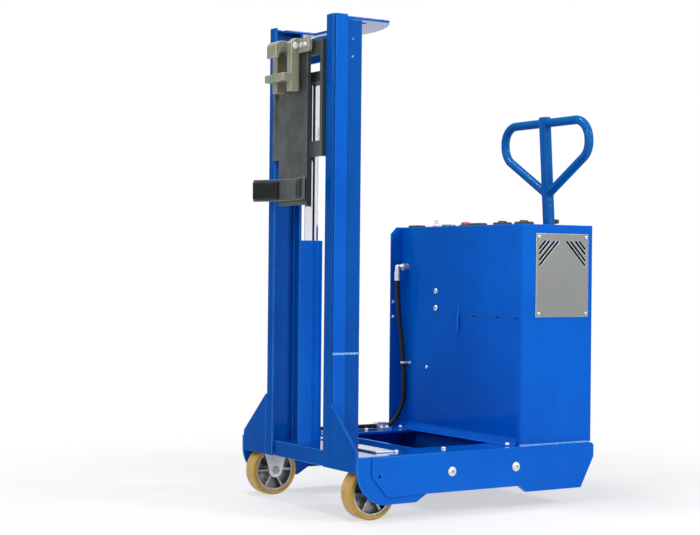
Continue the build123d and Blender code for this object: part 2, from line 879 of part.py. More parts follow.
# Yoke: clamped on the kingpin, with two ears that hold the tiller's pin
ear_r = tiller_pin_d
with BuildPart() as steer_yoke:
    slab(
        (-yoke_w / 2, yoke_w / 2),
        (rear_wheel_y - yoke_w / 2, pivot_y + ear_r),
        (yoke_z, yoke_z + yoke_ear_t),
    )
    for side in (1, -1):
        slab(
            pair(side, yoke_w / 2 - yoke_ear_t, yoke_w / 2),
            (pivot_y - ear_r, pivot_y + ear_r),
            (yoke_z + yoke_ear_t, tiller_pivot_z),
        )
        with Locations((side * (yoke_w - yoke_ear_t) / 2, pivot_y, tiller_pivot_z)):
            Cylinder(ear_r, yoke_ear_t, rotation=(0, 90, 0))
    with Locations((0, pivot_y, tiller_pivot_z)):
        Cylinder(tiller_pin_d / 2, yoke_w, rotation=(0, 90, 0), mode=Mode.SUBTRACT)
    with Locations((0, rear_wheel_y, yoke_z)):
        Cylinder(king_d / 2, 4 * yoke_ear_t, mode=Mode.SUBTRACT)
save(steer_yoke.part, "steer_yoke")

# Pins of the steered fork: the wheel's axle and the pin that the tiller tilts on
with BuildPart() as steer_pins:
    axle_bolt(0, rear_wheel_y, steer_r, fork_x + fork_t)
    with Locations((0, pivot_y, tiller_pivot_z)):
        Cylinder(tiller_pin_d / 2, yoke_w, rotation=(0, 90, 0))
save(steer_pins.part, "steer_pins")


# Tiller: a straight stem that leans forward, with a heart-shaped loop handle welded on top
tiller_plane = Plane(
    origin=(0, pivot_y, tiller_pivot_z),
    x_dir=(1, 0, 0),
    z_dir=(0, -cos(radians(tiller_lean)), -sin(radians(tiller_lean))),
)
tiller_len = (tiller_top - tiller_pivot_z) / cos(radians(tiller_lean))
boss_half = yoke_w / 2 - yoke_ear_t - side_clear
stem_plane = Plane(tiller_plane.origin, x_dir=(1, 0, 0), z_dir=tiller_plane.y_dir)
with BuildPart() as tiller_stem:
    with BuildSketch(stem_plane):
        Circle(stem_d / 2)
    extrude(amount=tiller_len)
    fillet(tiller_stem.edges().group_by(Axis.Z)[-1], stem_d / 8)
    with Locations((0, pivot_y, tiller_pivot_z)):
        Cylinder(stem_d / 2, 2 * boss_half, rotation=(0, 90, 0))
        Cylinder(tiller_pin_d / 2 + run_clear, 2 * boss_half, rotation=(0, 90, 0), mode=Mode.SUBTRACT)
save(tiller_stem.part, "tiller_stem")

loop_half = (loop_width - loop_tube_d) / 2
loop_top = tiller_len - stem_rise - loop_tube_d / 2
loop_low = loop_top - loop_height
with BuildPart() as tiller_loop:
    with BuildLine(tiller_plane) as loop_path:
        FilletPolyline(
            (0, loop_low),
            (loop_half, loop_low + loop_shoulder),
            (loop_half, loop_top),
            (0, loop_top),
            radius=loop_corner,
        )
    with BuildSketch(Plane(loop_path.line @ 0, z_dir=loop_path.line % 0)):
        Circle(loop_tube_d / 2)
    sweep()
    with BuildSketch(stem_plane):
        Circle(stem_d / 2)
    extrude(amount=tiller_len, mode=Mode.SUBTRACT)
    split(bisect_by=Plane.YZ)
    mirror(about=Plane.YZ)
save(tiller_loop.part, "tiller_loop")

# Knob: a clamp screw on the stem's rear, at the height of the cabinet's top
knob_up = (knob_z - tiller_pivot_z) / cos(radians(tiller_lean))
with BuildPart() as tiller_knob:
    knob_foot = tiller_plane.from_local_coords((0, knob_up, -stem_d / 2))
    with BuildSketch(Plane(knob_foot, x_dir=(1, 0, 0), z_dir=-tiller_plane.z_dir)):
        Circle(knob_d / 2)
    extrude(amount=knob_len)
    fillet(tiller_knob.edges().filter_by(GeomType.CIRCLE).sort_by(Axis.Y)[-1], knob_d / 5)
save(tiller_knob.part, "tiller_knob")


# Cabinet: side walls and rear wall in one folded sheet. The left wall turns round the front corner, and
# the right wall stands forward of the panels as a wing beside the hose
front_y = mast_y + side_length - cabinet_depth
rear_face = mast_y + side_length + cabinet_tail
wing_y = front_y - cabinet_wing
with BuildPart() as cabinet_shell:
    with BuildSketch(Plane.YZ.offset(-wall_x)):
        with BuildLine():
            Polyline(
                (wing_y, side_top),
                (rear_face, side_top),
                (rear_face, cabinet_top_z),
                (wing_y + wing_chamfer, cabinet_top_z),
                (wing_y, cabinet_top_z - wing_chamfer),
                close=True,
            )
        make_face()
    extrude(amount=sheet_t)
    slab((wall_x - sheet_t, wall_x), (front_y, rear_face), (side_top, cabinet_top_z))
    slab((wall_x - corner_w, wall_x), (front_y, front_y + corner_w), (side_top, cabinet_top_z))
    left_front = cabinet_shell.edges().filter_by(Axis.Z).group_by(Axis.X)[-1].sort_by(Axis.Y)[0]
    fillet(left_front, corner_r)
    slab((-wall_x, wall_x), (rear_face - sheet_t, rear_face), (side_top, cabinet_top_z))
    rear_corners = cabinet_shell.edges().filter_by(Axis.Z).group_by(Axis.Y)[-1]
    fillet(rear_corners, bend_r)
    head_slot = head_plate_w / 2 + side_clear
    slab(
        (-head_slot, head_slot),
        (rear_face - sheet_t, rear_face),
        (side_top, head_low + head_plate_t + side_clear),
        mode=Mode.SUBTRACT,
    )
    vent_middle_y = rear_face - vent_back - vent_w / 2
    vent_hole_z = vent_z + vent_h - vent_slot_top - vent_hole_h / 2
    with Locations((wall_x, vent_middle_y, vent_hole_z)):
        Box(4 * sheet_t, vent_hole, vent_hole_h, mode=Mode.SUBTRACT)
save(cabinet_shell.part, "cabinet_shell")

inside_x = wall_x - sheet_t
corner_x = wall_x - corner_w
with BuildPart() as cabinet_top:
    slab(
        (-inside_x, inside_x),
        (front_y, rear_face - sheet_t),
        (cabinet_top_z - sheet_t, cabinet_top_z),
    )
    slab(
        (corner_x, inside_x),
        (front_y, front_y + corner_w),
        (cabinet_top_z - sheet_t, cabinet_top_z),
        mode=Mode.SUBTRACT,
    )
save(cabinet_top.part, "cabinet_top")

panel_y = (front_y, front_y + sheet_t)
with BuildPart() as front_panel_upper:
    upper_low = seam_z + seam_gap / 2
    slab((-inside_x, corner_x), panel_y, (upper_low, cabinet_top_z - sheet_t))
    for inset in seam_notch_inset:
        with Locations((wall_x - inset, front_y + sheet_t / 2, upper_low)):
            Box(seam_notch_w, 2 * sheet_t, 2 * seam_notch_h, mode=Mode.SUBTRACT)
save(front_panel_upper.part, "front_panel_upper")

with BuildPart() as front_panel_lower:
    slab((-inside_x, corner_x), panel_y, (side_top, seam_z - seam_gap / 2))
    slab((-inside_x, corner_x), (front_y - panel_foot, front_y), (side_top, side_top + sheet_t))
    inner_bend = front_panel_lower.edges().filter_by(Axis.X).filter_by_position(
        Axis.Z, side_top + sheet_t / 2, side_top + 2 * sheet_t
    )
    fillet(inner_bend.sort_by(Axis.Y)[1], foot_r)
    slab(
        (-inside_x, corner_x),
        (front_y + sheet_t, front_y + 2 * sheet_t),
        (seam_z - lap_below, seam_z + lap_above),
    )
save(front_panel_lower.part, "front_panel_lower")


# Vent plate: a stainless cover with slanting slots in its two upper corners
with BuildPart() as vent_plate:
    vent_top = vent_z + vent_h
    with BuildSketch(Plane.YZ.offset(wall_x)):
        with Locations((vent_middle_y, vent_z + vent_h / 2)):
            Rectangle(vent_w, vent_h)
        for run in vent_slot_runs:
            for end in (1, -1):
                edge_y = vent_middle_y + end * (vent_w / 2 - vent_slot_margin)
                with Locations((edge_y - end * run / 2, vent_top - vent_slot_top - run / 2)):
                    SlotCenterToCenter(run * 2**0.5, vent_slot_w, rotation=-45 * end, mode=Mode.SUBTRACT)
    extrude(amount=vent_t)
save(vent_plate.part, "vent_plate")


# Fasteners: skirt bolts, flange screws, mast bolts, vent screws, panel bolts and wing screws
with BuildPart() as body_fasteners:
    for side, screw_y, inset in zip((1, -1), (left_screw_y, right_screw_y), foot_screw_inset):
        for y in bolt_y:
            button((side * frame_width / 2, mast_y + y, bolt_z), (side, 0, 0), bolt_head_d, bolt_head_t)
        feet = [(side * (flange_in + flange_screw_inset), mast_y + y, side_top) for y in screw_y]
        for foot in (*feet, (side * (wall_x - inset), front_y - foot_screw_back, side_top + sheet_t)):
            button(foot, (0, 0, 1), flange_screw_d, flange_screw_t)
        for drop in mast_bolt_drop:
            foot = (side * mast_x, mast_y + mast_bolt_y, mast_height - drop)
            button(foot, (side, 0, 0), small_screw_d, screw_t)
    for y_end in (1, -1):
        for z_end in (1, -1):
            y = vent_middle_y + y_end * (vent_w / 2 - vent_screw_inset)
            z = vent_z + vent_h / 2 + z_end * (vent_h / 2 - vent_screw_inset)
            button((wall_x + vent_t, y, z), (1, 0, 0), small_screw_d, screw_t)
    for z in dome_bolt_z:
        button((dome_bolt_inset - wall_x, front_y, z), (0, -1, 0), dome_bolt_d, screw_t)
    button((panel_screw_inset - wall_x, front_y, panel_screw_z), (0, -1, 0), small_screw_d, screw_t)
    for z in wing_screw_z:
        button((-inside_x, wing_y + small_screw_d, z), (1, 0, 0), small_screw_d, screw_t)
save(body_fasteners.part, "body_fasteners")

# Lug on the upper panel: a strap that hangs over the seam, with a gusset above it
with BuildPart() as panel_lug:
    with BuildSketch(Plane.YZ.offset(lug_x - lug_w / 2)):
        with BuildLine():
            Polyline(
                (front_y, lug_top),
                (front_y - lug_out, upper_low),
                (front_y - lug_out, lug_low),
                (front_y, lug_low),
                close=True,
            )
        make_face()
    extrude(amount=lug_w)
save(panel_lug.part, "panel_lug")


# Inside: a cast counterweight on the tray, with the battery and the hydraulic power pack on it
floor_z = tray_z + tray_t
with BuildPart() as counterweight:
    gap_x, gap_y, gap_z = weight_gap
    weight_range = (front_y + sheet_t + gap_y, mast_y + rear_lobe_rear - load_gap)
    load_z = tray_top - gap_z
    slab((gap_x - inner_x, inner_x - gap_x), weight_range, (floor_z, load_z))
save(counterweight.part, "counterweight")

weight_y = (weight_range[0] + weight_range[1]) / 2
bay_w = 2 * flange_in - 3 * load_gap
battery_w = battery_share * bay_w
tank_w = bay_w - battery_w
with BuildPart() as battery:
    battery_x = load_gap + battery_w / 2 - flange_in
    with Locations((battery_x, weight_y, load_z + battery_h / 2)):
        Box(battery_w, battery_d, battery_h)
    post_z = load_z + battery_h + battery_post_h / 2
    post_x = battery_w / 2 - battery_post_inset
    with Locations((battery_x - post_x, weight_y, post_z), (battery_x + post_x, weight_y, post_z)):
        Cylinder(battery_post_d / 2, battery_post_h)
save(battery.part, "battery")

with BuildPart() as power_pack:
    tank_x = flange_in - load_gap - tank_w / 2
    with Locations((tank_x, weight_y, load_z + tank_h / 2)):
        Box(tank_w, tank_d, tank_h)
    with Locations((tank_x, weight_y, load_z + tank_h + motor_h / 2)):
        Cylinder(motor_d / 2, motor_h)
save(power_pack.part, "power_pack")


# Controls: three rocker switches in bezels, an hour meter's housing, a charge gauge, a charging socket
# and a key switch
control_line = front_y + control_back
rocker_x = [wall_x - inset for inset in switch_inset]
rocker_z = cabinet_top_z + rocker_rise
with BuildPart() as switch_bezels:
    for x in (wall_x - meter_inset, *rocker_x[1:]):
        with Locations((x, control_line, cabinet_top_z)):
            Box(*bezel, align=(Align.CENTER, Align.CENTER, Align.MIN))
    chamfer(switch_bezels.edges().group_by(Axis.Z)[-1], bezel[2] / 3)
    with Locations((rocker_x[0], control_line, cabinet_top_z)):
        Box(*main_base, align=(Align.CENTER, Align.CENTER, Align.MIN))
    for x in rocker_x:
        with Locations((x, control_line, rocker_z)):
            Cylinder(
                rocker_r + roll_clear,
                rocker_w + 2 * roll_clear,
                rotation=(90, 0, 0),
                mode=Mode.SUBTRACT,
            )
    socket_w, socket_d, socket_h = socket_size
    with BuildSketch(Plane.XY.offset(cabinet_top_z)):
        with Locations((socket_inset - wall_x, front_y + socket_back)):
            RectangleRounded(socket_w, socket_d, socket_d / 4)
    extrude(amount=socket_h)
save(switch_bezels.part, "switch_bezels")

for name, x in zip(("main_rocker", "lift_rocker", "grip_rocker"), rocker_x):
    with BuildPart() as rocker:
        with Locations((x, control_line, rocker_z)):
            Cylinder(rocker_r, rocker_w, rotation=(90, 0, 0))
        slab(
            (x - rocker_ridge / 2, x + rocker_ridge / 2),
            (control_line - rocker_w / 2, control_line + rocker_w / 2),
            (rocker_z, rocker_z + rocker_r + rocker_ridge),
        )
    save(rocker.part, name)

with BuildPart() as charge_gauge:
    with Locations((gauge_inset - wall_x, control_line, cabinet_top_z + gauge_h / 2)):
        Cylinder(gauge_d / 2, gauge_h)
    fillet(charge_gauge.edges().group_by(Axis.Z)[-1], gauge_h / 3)
save(charge_gauge.part, "charge_gauge")

key_seat = cabinet_top_z + key_barrel_h
key_x = key_inset - wall_x
with BuildPart() as key_barrel:
    with Locations((key_x, control_line, cabinet_top_z + key_barrel_h / 2)):
        Cylinder(key_barrel_d / 2, key_barrel_h)
save(key_barrel.part, "key_barrel")

with BuildPart() as key:
    key_w, key_t, key_h = key_size
    with Locations((key_x, control_line, key_seat + key_h / 2)):
        Box(key_w, key_t, key_h)
        Cylinder(key_stem_d / 2, key_h / 2, align=(Align.CENTER, Align.CENTER, Align.MAX))
save(key.part, "key")


# Hydraulic hose: from the elbow on the upper panel, down the front, and along the right side frame to the ram
def bend_radii(points):
    """The radius at each inner point of a route, as large as the two runs beside it allow."""
    radii = []
    for before, here, after in zip(points, points[1:], points[2:]):
        run_in = here - before
        run_out = after - here
        shorter = min(run_in.length, run_out.length)
        radii.append(bend_share * shorter / tan(radians(run_in.get_angle(run_out)) / 2))
    return radii


port_plane = Plane((0, mast_y + ram_y, port_z), z_dir=(-1, 1, 0))
run_x = hose_run_inset - wall_x
run_z = side_top + hose_run_rise
cross_y = mast_y + hose_cross_y
route_points = [Vector(inset - wall_x, front_y - out, elbow_z - drop) for inset, out, drop in hose_on_panel]
route_points += [Vector(inset - wall_x, front_y - out, side_top + rise) for inset, out, rise in hose_at_foot]
route_points += [
    Vector(run_x, front_y - hose_run_start, run_z),
    Vector(run_x, mast_y + hose_run_end, run_z),
    Vector(-flange_in, cross_y, side_top + hose_cross_rise),
    Vector(-hose_cross_end, cross_y, port_z),
    port_plane.from_local_coords(Vector(0, 0, barrel_d / 2 + port_len)),
]
radii = bend_radii(route_points)
print("hose bend radii", [round(radius) for radius in radii])
with BuildPart() as hose:
    with BuildLine() as route:
        FilletPolyline(*route_points, radius=radii)
    with BuildSketch(Plane(route.line @ 0, z_dir=route.line % 0)):
        Circle(hose_d / 2)
    sweep()
save(hose.part, "hose")
hose_len = route.wire().length
print("hose length", round(hose_len), "mm, volume against section times length", end=" ")
print(round(hose.part.volume / (pi * hose_d**2 / 4 * hose_len), 4))

# Hose fittings: elbow on the panel, band and clip along the way, and the port in the ram's barrel
hose_start = route_points[0]
hose_r = hose_d / 2
with BuildPart() as hose_fittings:
    elbow_top = (hose_start.X, hose_start.Y, elbow_z)
    elbow_drop = elbow_z - hose_start.Z
    elbow_out = front_y - hose_start.Y
    with Locations((hose_start.X, front_y - elbow_out / 2, elbow_z)):
        Cylinder(elbow_d / 2, elbow_out, rotation=(90, 0, 0))
    with Locations((hose_start.X, front_y - elbow_out / 4, elbow_z)):
        Cylinder(elbow_nut_d / 2, elbow_out / 2, rotation=(90, 0, 0))
    with Locations((hose_start.X, hose_start.Y, elbow_z - elbow_drop / 2)):
        Cylinder(elbow_d / 2, elbow_drop)
    with Locations((hose_start.X, hose_start.Y, elbow_z - elbow_drop * 2 / 3)):
        Cylinder(ferrule_d / 2, elbow_drop * 2 / 3)
    with Locations(elbow_top):
        Sphere(elbow_d / 2)
    above, below = route_points[2:4]
    band_at = above + (below - above) * ((above.Z - band_z) / (above.Z - below.Z))
    with Locations(band_at):
        Cylinder(hose_r + band_t, band_h)
    slab(
        (band_at.X, band_at.X + band_ear),
        (front_y - band_t, front_y),
        (band_z - band_h / 2, band_z + band_h / 2),
    )
    slab(
        (band_at.X - hose_r, band_at.X + hose_r),
        (band_at.Y, front_y),
        (band_z - band_h / 2, band_z + band_h / 2),
    )
    with Locations(band_at):
        Cylinder(hose_r, band_h, mode=Mode.SUBTRACT)
    ear_screw = (band_at.X + band_ear - small_screw_d / 2, front_y - band_t, band_z)
    button(ear_screw, (0, -1, 0), small_screw_d, screw_t)
    clip_near = run_x + hose_r + clip_t
    clip_range = (front_y - clip_back[0], front_y - clip_back[1])
    slab(
        (run_x - hose_r - clip_t, clip_near),
        clip_range,
        (side_top, run_z + hose_r + clip_t),
    )
    slab((clip_near, clip_near + clip_foot), clip_range, (side_top, side_top + clip_t))
    with Locations((run_x, (clip_range[0] + clip_range[1]) / 2, run_z)):
        Cylinder(hose_r, clip_range[1] - clip_range[0], rotation=(90, 0, 0), mode=Mode.SUBTRACT)
    for back in clip_bolt_back:
        foot = (clip_near + clip_foot / 2, front_y - back, side_top + clip_t)
        button(foot, (0, 0, 1), flange_screw_d, flange_screw_t)
    with BuildSketch(port_plane):
        Circle(port_d / 2)
    extrude(amount=barrel_d / 2 + port_len)
    with Locations((0, mast_y + ram_y, port_z)):
        Cylinder(barrel_d / 2, port_d, mode=Mode.SUBTRACT)
save(hose_fittings.part, "hose_fittings")
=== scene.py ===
# %% [markdown]
# # Drum depalletizer: the looks
# The solids of this machine are already made and packed, in metres, with the floor at Z = 0 and the
# drum side facing -Y. This lesson dresses them: it loads the solids as a fixed frame, then adds soft
# edges, welds, bolts, rubber and paint around them. Nothing here changes a size.

# %% Load the frame
import json
from math import atan2, cos, pi, radians, sin

import bmesh
import bpy
from mathutils import Matrix, Vector

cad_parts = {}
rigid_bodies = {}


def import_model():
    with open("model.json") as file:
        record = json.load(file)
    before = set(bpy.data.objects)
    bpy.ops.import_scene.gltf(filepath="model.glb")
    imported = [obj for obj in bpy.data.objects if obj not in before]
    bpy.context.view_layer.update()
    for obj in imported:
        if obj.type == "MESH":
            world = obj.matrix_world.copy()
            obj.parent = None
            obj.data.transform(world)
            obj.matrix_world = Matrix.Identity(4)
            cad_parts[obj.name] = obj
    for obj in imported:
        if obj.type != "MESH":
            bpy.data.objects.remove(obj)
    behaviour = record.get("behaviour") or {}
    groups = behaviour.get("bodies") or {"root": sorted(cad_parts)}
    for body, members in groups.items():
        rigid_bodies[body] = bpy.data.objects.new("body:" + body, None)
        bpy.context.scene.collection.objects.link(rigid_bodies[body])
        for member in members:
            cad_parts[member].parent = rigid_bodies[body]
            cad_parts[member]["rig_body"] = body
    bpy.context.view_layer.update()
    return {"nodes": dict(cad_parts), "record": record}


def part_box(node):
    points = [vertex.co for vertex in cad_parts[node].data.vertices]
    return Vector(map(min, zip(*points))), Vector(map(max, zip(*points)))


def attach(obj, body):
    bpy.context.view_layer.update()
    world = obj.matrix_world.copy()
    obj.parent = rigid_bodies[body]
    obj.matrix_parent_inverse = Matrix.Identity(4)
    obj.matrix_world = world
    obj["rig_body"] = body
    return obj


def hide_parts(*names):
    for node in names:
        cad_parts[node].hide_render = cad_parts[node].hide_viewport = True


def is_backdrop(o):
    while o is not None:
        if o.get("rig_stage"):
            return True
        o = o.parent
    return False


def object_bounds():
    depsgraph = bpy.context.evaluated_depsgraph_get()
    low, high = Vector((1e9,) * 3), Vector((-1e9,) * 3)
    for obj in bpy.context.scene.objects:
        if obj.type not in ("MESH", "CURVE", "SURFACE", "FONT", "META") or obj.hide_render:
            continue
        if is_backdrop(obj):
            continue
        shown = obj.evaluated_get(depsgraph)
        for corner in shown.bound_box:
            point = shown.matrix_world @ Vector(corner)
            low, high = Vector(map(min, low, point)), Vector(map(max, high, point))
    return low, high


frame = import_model()
scene = bpy.context.scene
scene.view_settings.view_transform = "Standard"

# %% [markdown]
# ## Camera
# A product photo is taken from far off with a long lens, so upright edges stay nearly parallel. The
# camera stands at waist height and looks level. A camera could be aimed with a constraint, but setting
# its three axes directly keeps the small roll of the picture exact.

# %% Camera
IMAGE_WIDTH, FOCAL_PIXELS, SENSOR_MM = 700, 1534.5, 36.0
CAMERA_PLACE, CAMERA_ROLL = (3.8215, -2.6659, 0.69), radians(0.545)
look = Vector((-0.8475, 0.5308, 0.0005)).normalized()
camera_data = bpy.data.cameras.new("camera")
camera_data.sensor_width = SENSOR_MM
camera_data.lens = FOCAL_PIXELS / IMAGE_WIDTH * SENSOR_MM
camera = bpy.data.objects.new("camera", camera_data)
scene.collection.objects.link(camera)
scene.camera = camera
level_right = look.cross(Vector((0, 0, 1))).normalized()
level_up = level_right.cross(look)
camera_up = level_up * cos(CAMERA_ROLL) - level_right * sin(CAMERA_ROLL)
axes = Matrix((look.cross(camera_up), camera_up, -look)).transposed()
camera.matrix_world = Matrix.Translation(CAMERA_PLACE) @ axes.to_4x4()
print("lens", round(camera_data.lens, 1), "mm")

# %% [markdown]
# ## Floor and light
# The machine stands on a pale studio floor that fades into a white background. The floor is a real
# diffuse surface near the machine, so it keeps the shadow, and turns to plain white for the camera
# further out. Large soft lamps give the broad highlights that gloss paint needs.

# %% Shader helpers
def link_nodes(tree, source, output, target, entry):
    tree.links.new(source.outputs[output], target.inputs[entry])


def add_range(tree, low, high, to_low=0.0, to_high=1.0):
    """A Map Range node that is clamped at both ends."""
    ramp = tree.nodes.new("ShaderNodeMapRange")
    for entry, value in (("From Min", low), ("From Max", high), ("To Min", to_low), ("To Max", to_high)):
        ramp.inputs[entry].default_value = value
    return ramp


def seen_directly(tree):
    """A mask that is 1 for what the camera, a reflection or a transparent piece shows."""
    light_path = tree.nodes.new("ShaderNodeLightPath")
    total = light_path.outputs["Is Camera Ray"]
    for name in ("Is Glossy Ray", "Is Transmission Ray"):
        plus = tree.nodes.new("ShaderNodeMath")
        plus.use_clamp = True
        tree.links.new(total, plus.inputs[0])
        tree.links.new(light_path.outputs[name], plus.inputs[1])
        total = plus.outputs[0]
    return total


print("shader helpers ready")

# %% Floor
def make_floor(radius=30.0):
    disc = bmesh.new()
    bmesh.ops.create_circle(disc, cap_ends=True, segments=96, radius=radius)
    mesh = bpy.data.meshes.new("floor")
    disc.to_mesh(mesh)
    disc.free()
    floor = bpy.data.objects.new("floor", mesh)
    scene.collection.objects.link(floor)
    floor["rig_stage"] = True
    return floor


floor = make_floor()
print("floor reaches", round(max(floor.dimensions) / 2, 1), "m")

# %% Floor paint
FLOOR_GREY = 0.86


def paint_floor(near=0.7, far=1.9, shade_share=0.42):
    """Matt grey that keeps the shadow near the machine, and plain white for the camera further out."""
    paint = bpy.data.materials.new("studio_floor")
    paint.use_nodes = True
    tree = paint.node_tree
    tree.nodes.remove(tree.nodes["Principled BSDF"])
    matt = tree.nodes.new("ShaderNodeBsdfDiffuse")
    matt.inputs["Color"].default_value = (FLOOR_GREY, FLOOR_GREY, FLOOR_GREY, 1)
    white = tree.nodes.new("ShaderNodeEmission")
    place = tree.nodes.new("ShaderNodeTexCoord")
    reach = tree.nodes.new("ShaderNodeVectorMath")
    reach.operation = "LENGTH"
    link_nodes(tree, place, "Object", reach, 0)
    fade = add_range(tree, near, far, 1 - shade_share)
    fade.interpolation_type = "SMOOTHSTEP"
    link_nodes(tree, reach, "Value", fade, "Value")
    share = tree.nodes.new("ShaderNodeMath")
    share.operation = "MULTIPLY"
    link_nodes(tree, fade, "Result", share, 0)
    tree.links.new(seen_directly(tree), share.inputs[1])
    mix = tree.nodes.new("ShaderNodeMixShader")
    link_nodes(tree, share, 0, mix, "Fac")
    link_nodes(tree, matt, 0, mix, 1)
    link_nodes(tree, white, 0, mix, 2)
    link_nodes(tree, mix, 0, tree.nodes["Material Output"], "Surface")
    return paint


floor.data.materials.append(paint_floor())
print("floor paint", floor.data.materials[0].name)

# %% Background and lamps
def light_background(level):
    """White where it is seen, and a softer level where it only lights the machine."""
    world = bpy.data.worlds.new("studio")
    scene.world = world
    world.use_nodes = True
    tree = world.node_tree
    background = tree.nodes["Background"]
    background.inputs["Color"].default_value = (1, 1, 1, 1)
    strength = add_range(tree, 0.0, 1.0, level)
    tree.links.new(seen_directly(tree), strength.inputs["Value"])
    link_nodes(tree, strength, "Result", background, "Strength")


def add_lamp(name, position, target, watts, width, height):
    lamp_data = bpy.data.lights.new(name, "AREA")
    lamp_data.shape = "RECTANGLE"
    lamp_data.size, lamp_data.size_y = width, height
    lamp_data.energy = watts
    lamp = bpy.data.objects.new(name, lamp_data)
    lamp.location = position
    aim = Vector(target) - Vector(position)
    lamp.rotation_mode = "QUATERNION"
    lamp.rotation_quaternion = aim.to_track_quat("-Z", "Y")
    scene.collection.objects.link(lamp)


BACKGROUND_LEVEL = 0.36
LAMPS = (
    # name, position, target, watts, width, height
    ("key_lamp", (3.2, 1.9, 2.6), (0.1, 0.0, 0.6), 74, 0.9, 0.9),
    ("front_lamp", (1.0, -3.6, 2.0), (0.0, -0.2, 0.7), 28, 1.2, 0.8),
    ("top_lamp", (-0.3, -0.6, 3.5), (0.0, 0.1, 0.4), 58, 1.2, 0.8),
    ("tall_strip", (3.6, 0.7, 1.3), (0.0, 0.2, 0.9), 12, 0.07, 1.8),
    ("long_strip", (1.8, -2.4, 3.0), (0.0, 0.2, 0.9), 14, 1.8, 0.07),
)
light_background(BACKGROUND_LEVEL)
for lamp in LAMPS:
    add_lamp(*lamp)

# %% [markdown]
# ## Shared surface effects
# Every finish varies a little: paint is cloudy, castings are grainy, brushed steel has fine lines, and
# a machine that rolls about collects dust low down. Each effect is a node group that is built once and
# placed in many materials. A group hands out masks, colours and heights only. The shader itself stays
# in each material.

# %% Node group helpers
def srgb(red, green, blue):
    """A colour given on a 0 to 255 screen scale, as the linear colour that nodes expect."""
    shares = (red / 255, green / 255, blue / 255)
    return (*[s / 12.92 if s <= 0.04045 else ((s + 0.055) / 1.055) ** 2.4 for s in shares], 1.0)


SOCKETS = {"value": "NodeSocketFloat", "colour": "NodeSocketColor", "vector": "NodeSocketVector"}


def new_group(name, inputs, outputs):
    """An empty shader node group. Inputs are (name, kind, default), and outputs are (name, kind)."""
    group = bpy.data.node_groups.new(name, "ShaderNodeTree")
    for label, kind, default in inputs:
        socket = group.interface.new_socket(label, in_out="INPUT", socket_type=SOCKETS[kind])
        socket.default_value = default
    for label, kind in outputs:
        group.interface.new_socket(label, in_out="OUTPUT", socket_type=SOCKETS[kind])
    return group, group.nodes.new("NodeGroupInput"), group.nodes.new("NodeGroupOutput")


def add_noise(group, entry, detail, roughness=0.5, stretch=None):
    """Noise on Object coordinates, its scale read from the group's Scale socket."""
    place = group.nodes.new("ShaderNodeTexCoord")
    noise = group.nodes.new("ShaderNodeTexNoise")
    noise.inputs["Detail"].default_value = detail
    noise.inputs["Roughness"].default_value = roughness
    link_nodes(group, entry, "Scale", noise, "Scale")
    if stretch is None:
        link_nodes(group, place, "Object", noise, "Vector")
    else:
        squeeze = group.nodes.new("ShaderNodeVectorMath")
        squeeze.operation = "MULTIPLY"
        link_nodes(group, place, "Object", squeeze, 0)
        link_nodes(group, entry, stretch, squeeze, 1)
        link_nodes(group, squeeze, "Vector", noise, "Vector")
    return noise


COLOUR_A, COLOUR_B, MIXED_COLOUR = 6, 7, 2


def mix_colours(tree, factor):
    """A Mix node for two colours, driven by a factor socket. Its colour sockets go by number."""
    mix = tree.nodes.new("ShaderNodeMix")
    mix.data_type = "RGBA"
    tree.links.new(factor, mix.inputs["Factor"])
    return mix


print("socket kinds", sorted(SOCKETS))

# %% Cloudy tone, grain, lines and dust
def build_cloudy_tone():
    group, entry, leave = new_group(
        "Cloudy tone",
        (("Scale", "value", 5.0), ("Dark", "colour", (0, 0, 0, 1)), ("Light", "colour", (1, 1, 1, 1))),
        (("Color", "colour"), ("Mask", "value")),
    )
    noise = add_noise(group, entry, 5, 0.6)
    ramp = add_range(group, 0.3, 0.7)
    mix = mix_colours(group, ramp.outputs["Result"])
    link_nodes(group, noise, "Fac", ramp, "Value")
    link_nodes(group, entry, "Dark", mix, COLOUR_A)
    link_nodes(group, entry, "Light", mix, COLOUR_B)
    link_nodes(group, mix, MIXED_COLOUR, leave, "Color")
    link_nodes(group, ramp, "Result", leave, "Mask")
    return group


def build_fine_grain():
    group, entry, leave = new_group("Fine grain", (("Scale", "value", 400.0),), (("Height", "value"),))
    link_nodes(group, add_noise(group, entry, 2), "Fac", leave, "Height")
    return group


def build_fine_lines():
    group, entry, leave = new_group(
        "Fine lines",
        (("Scale", "value", 400.0), ("Stretch", "vector", (1, 1, 0.02))),
        (("Height", "value"), ("Mask", "value")),
    )
    noise = add_noise(group, entry, 3, 0.6, "Stretch")
    ramp = add_range(group, 0.35, 0.65)
    link_nodes(group, noise, "Fac", leave, "Height")
    link_nodes(group, noise, "Fac", ramp, "Value")
    link_nodes(group, ramp, "Result", leave, "Mask")
    return group


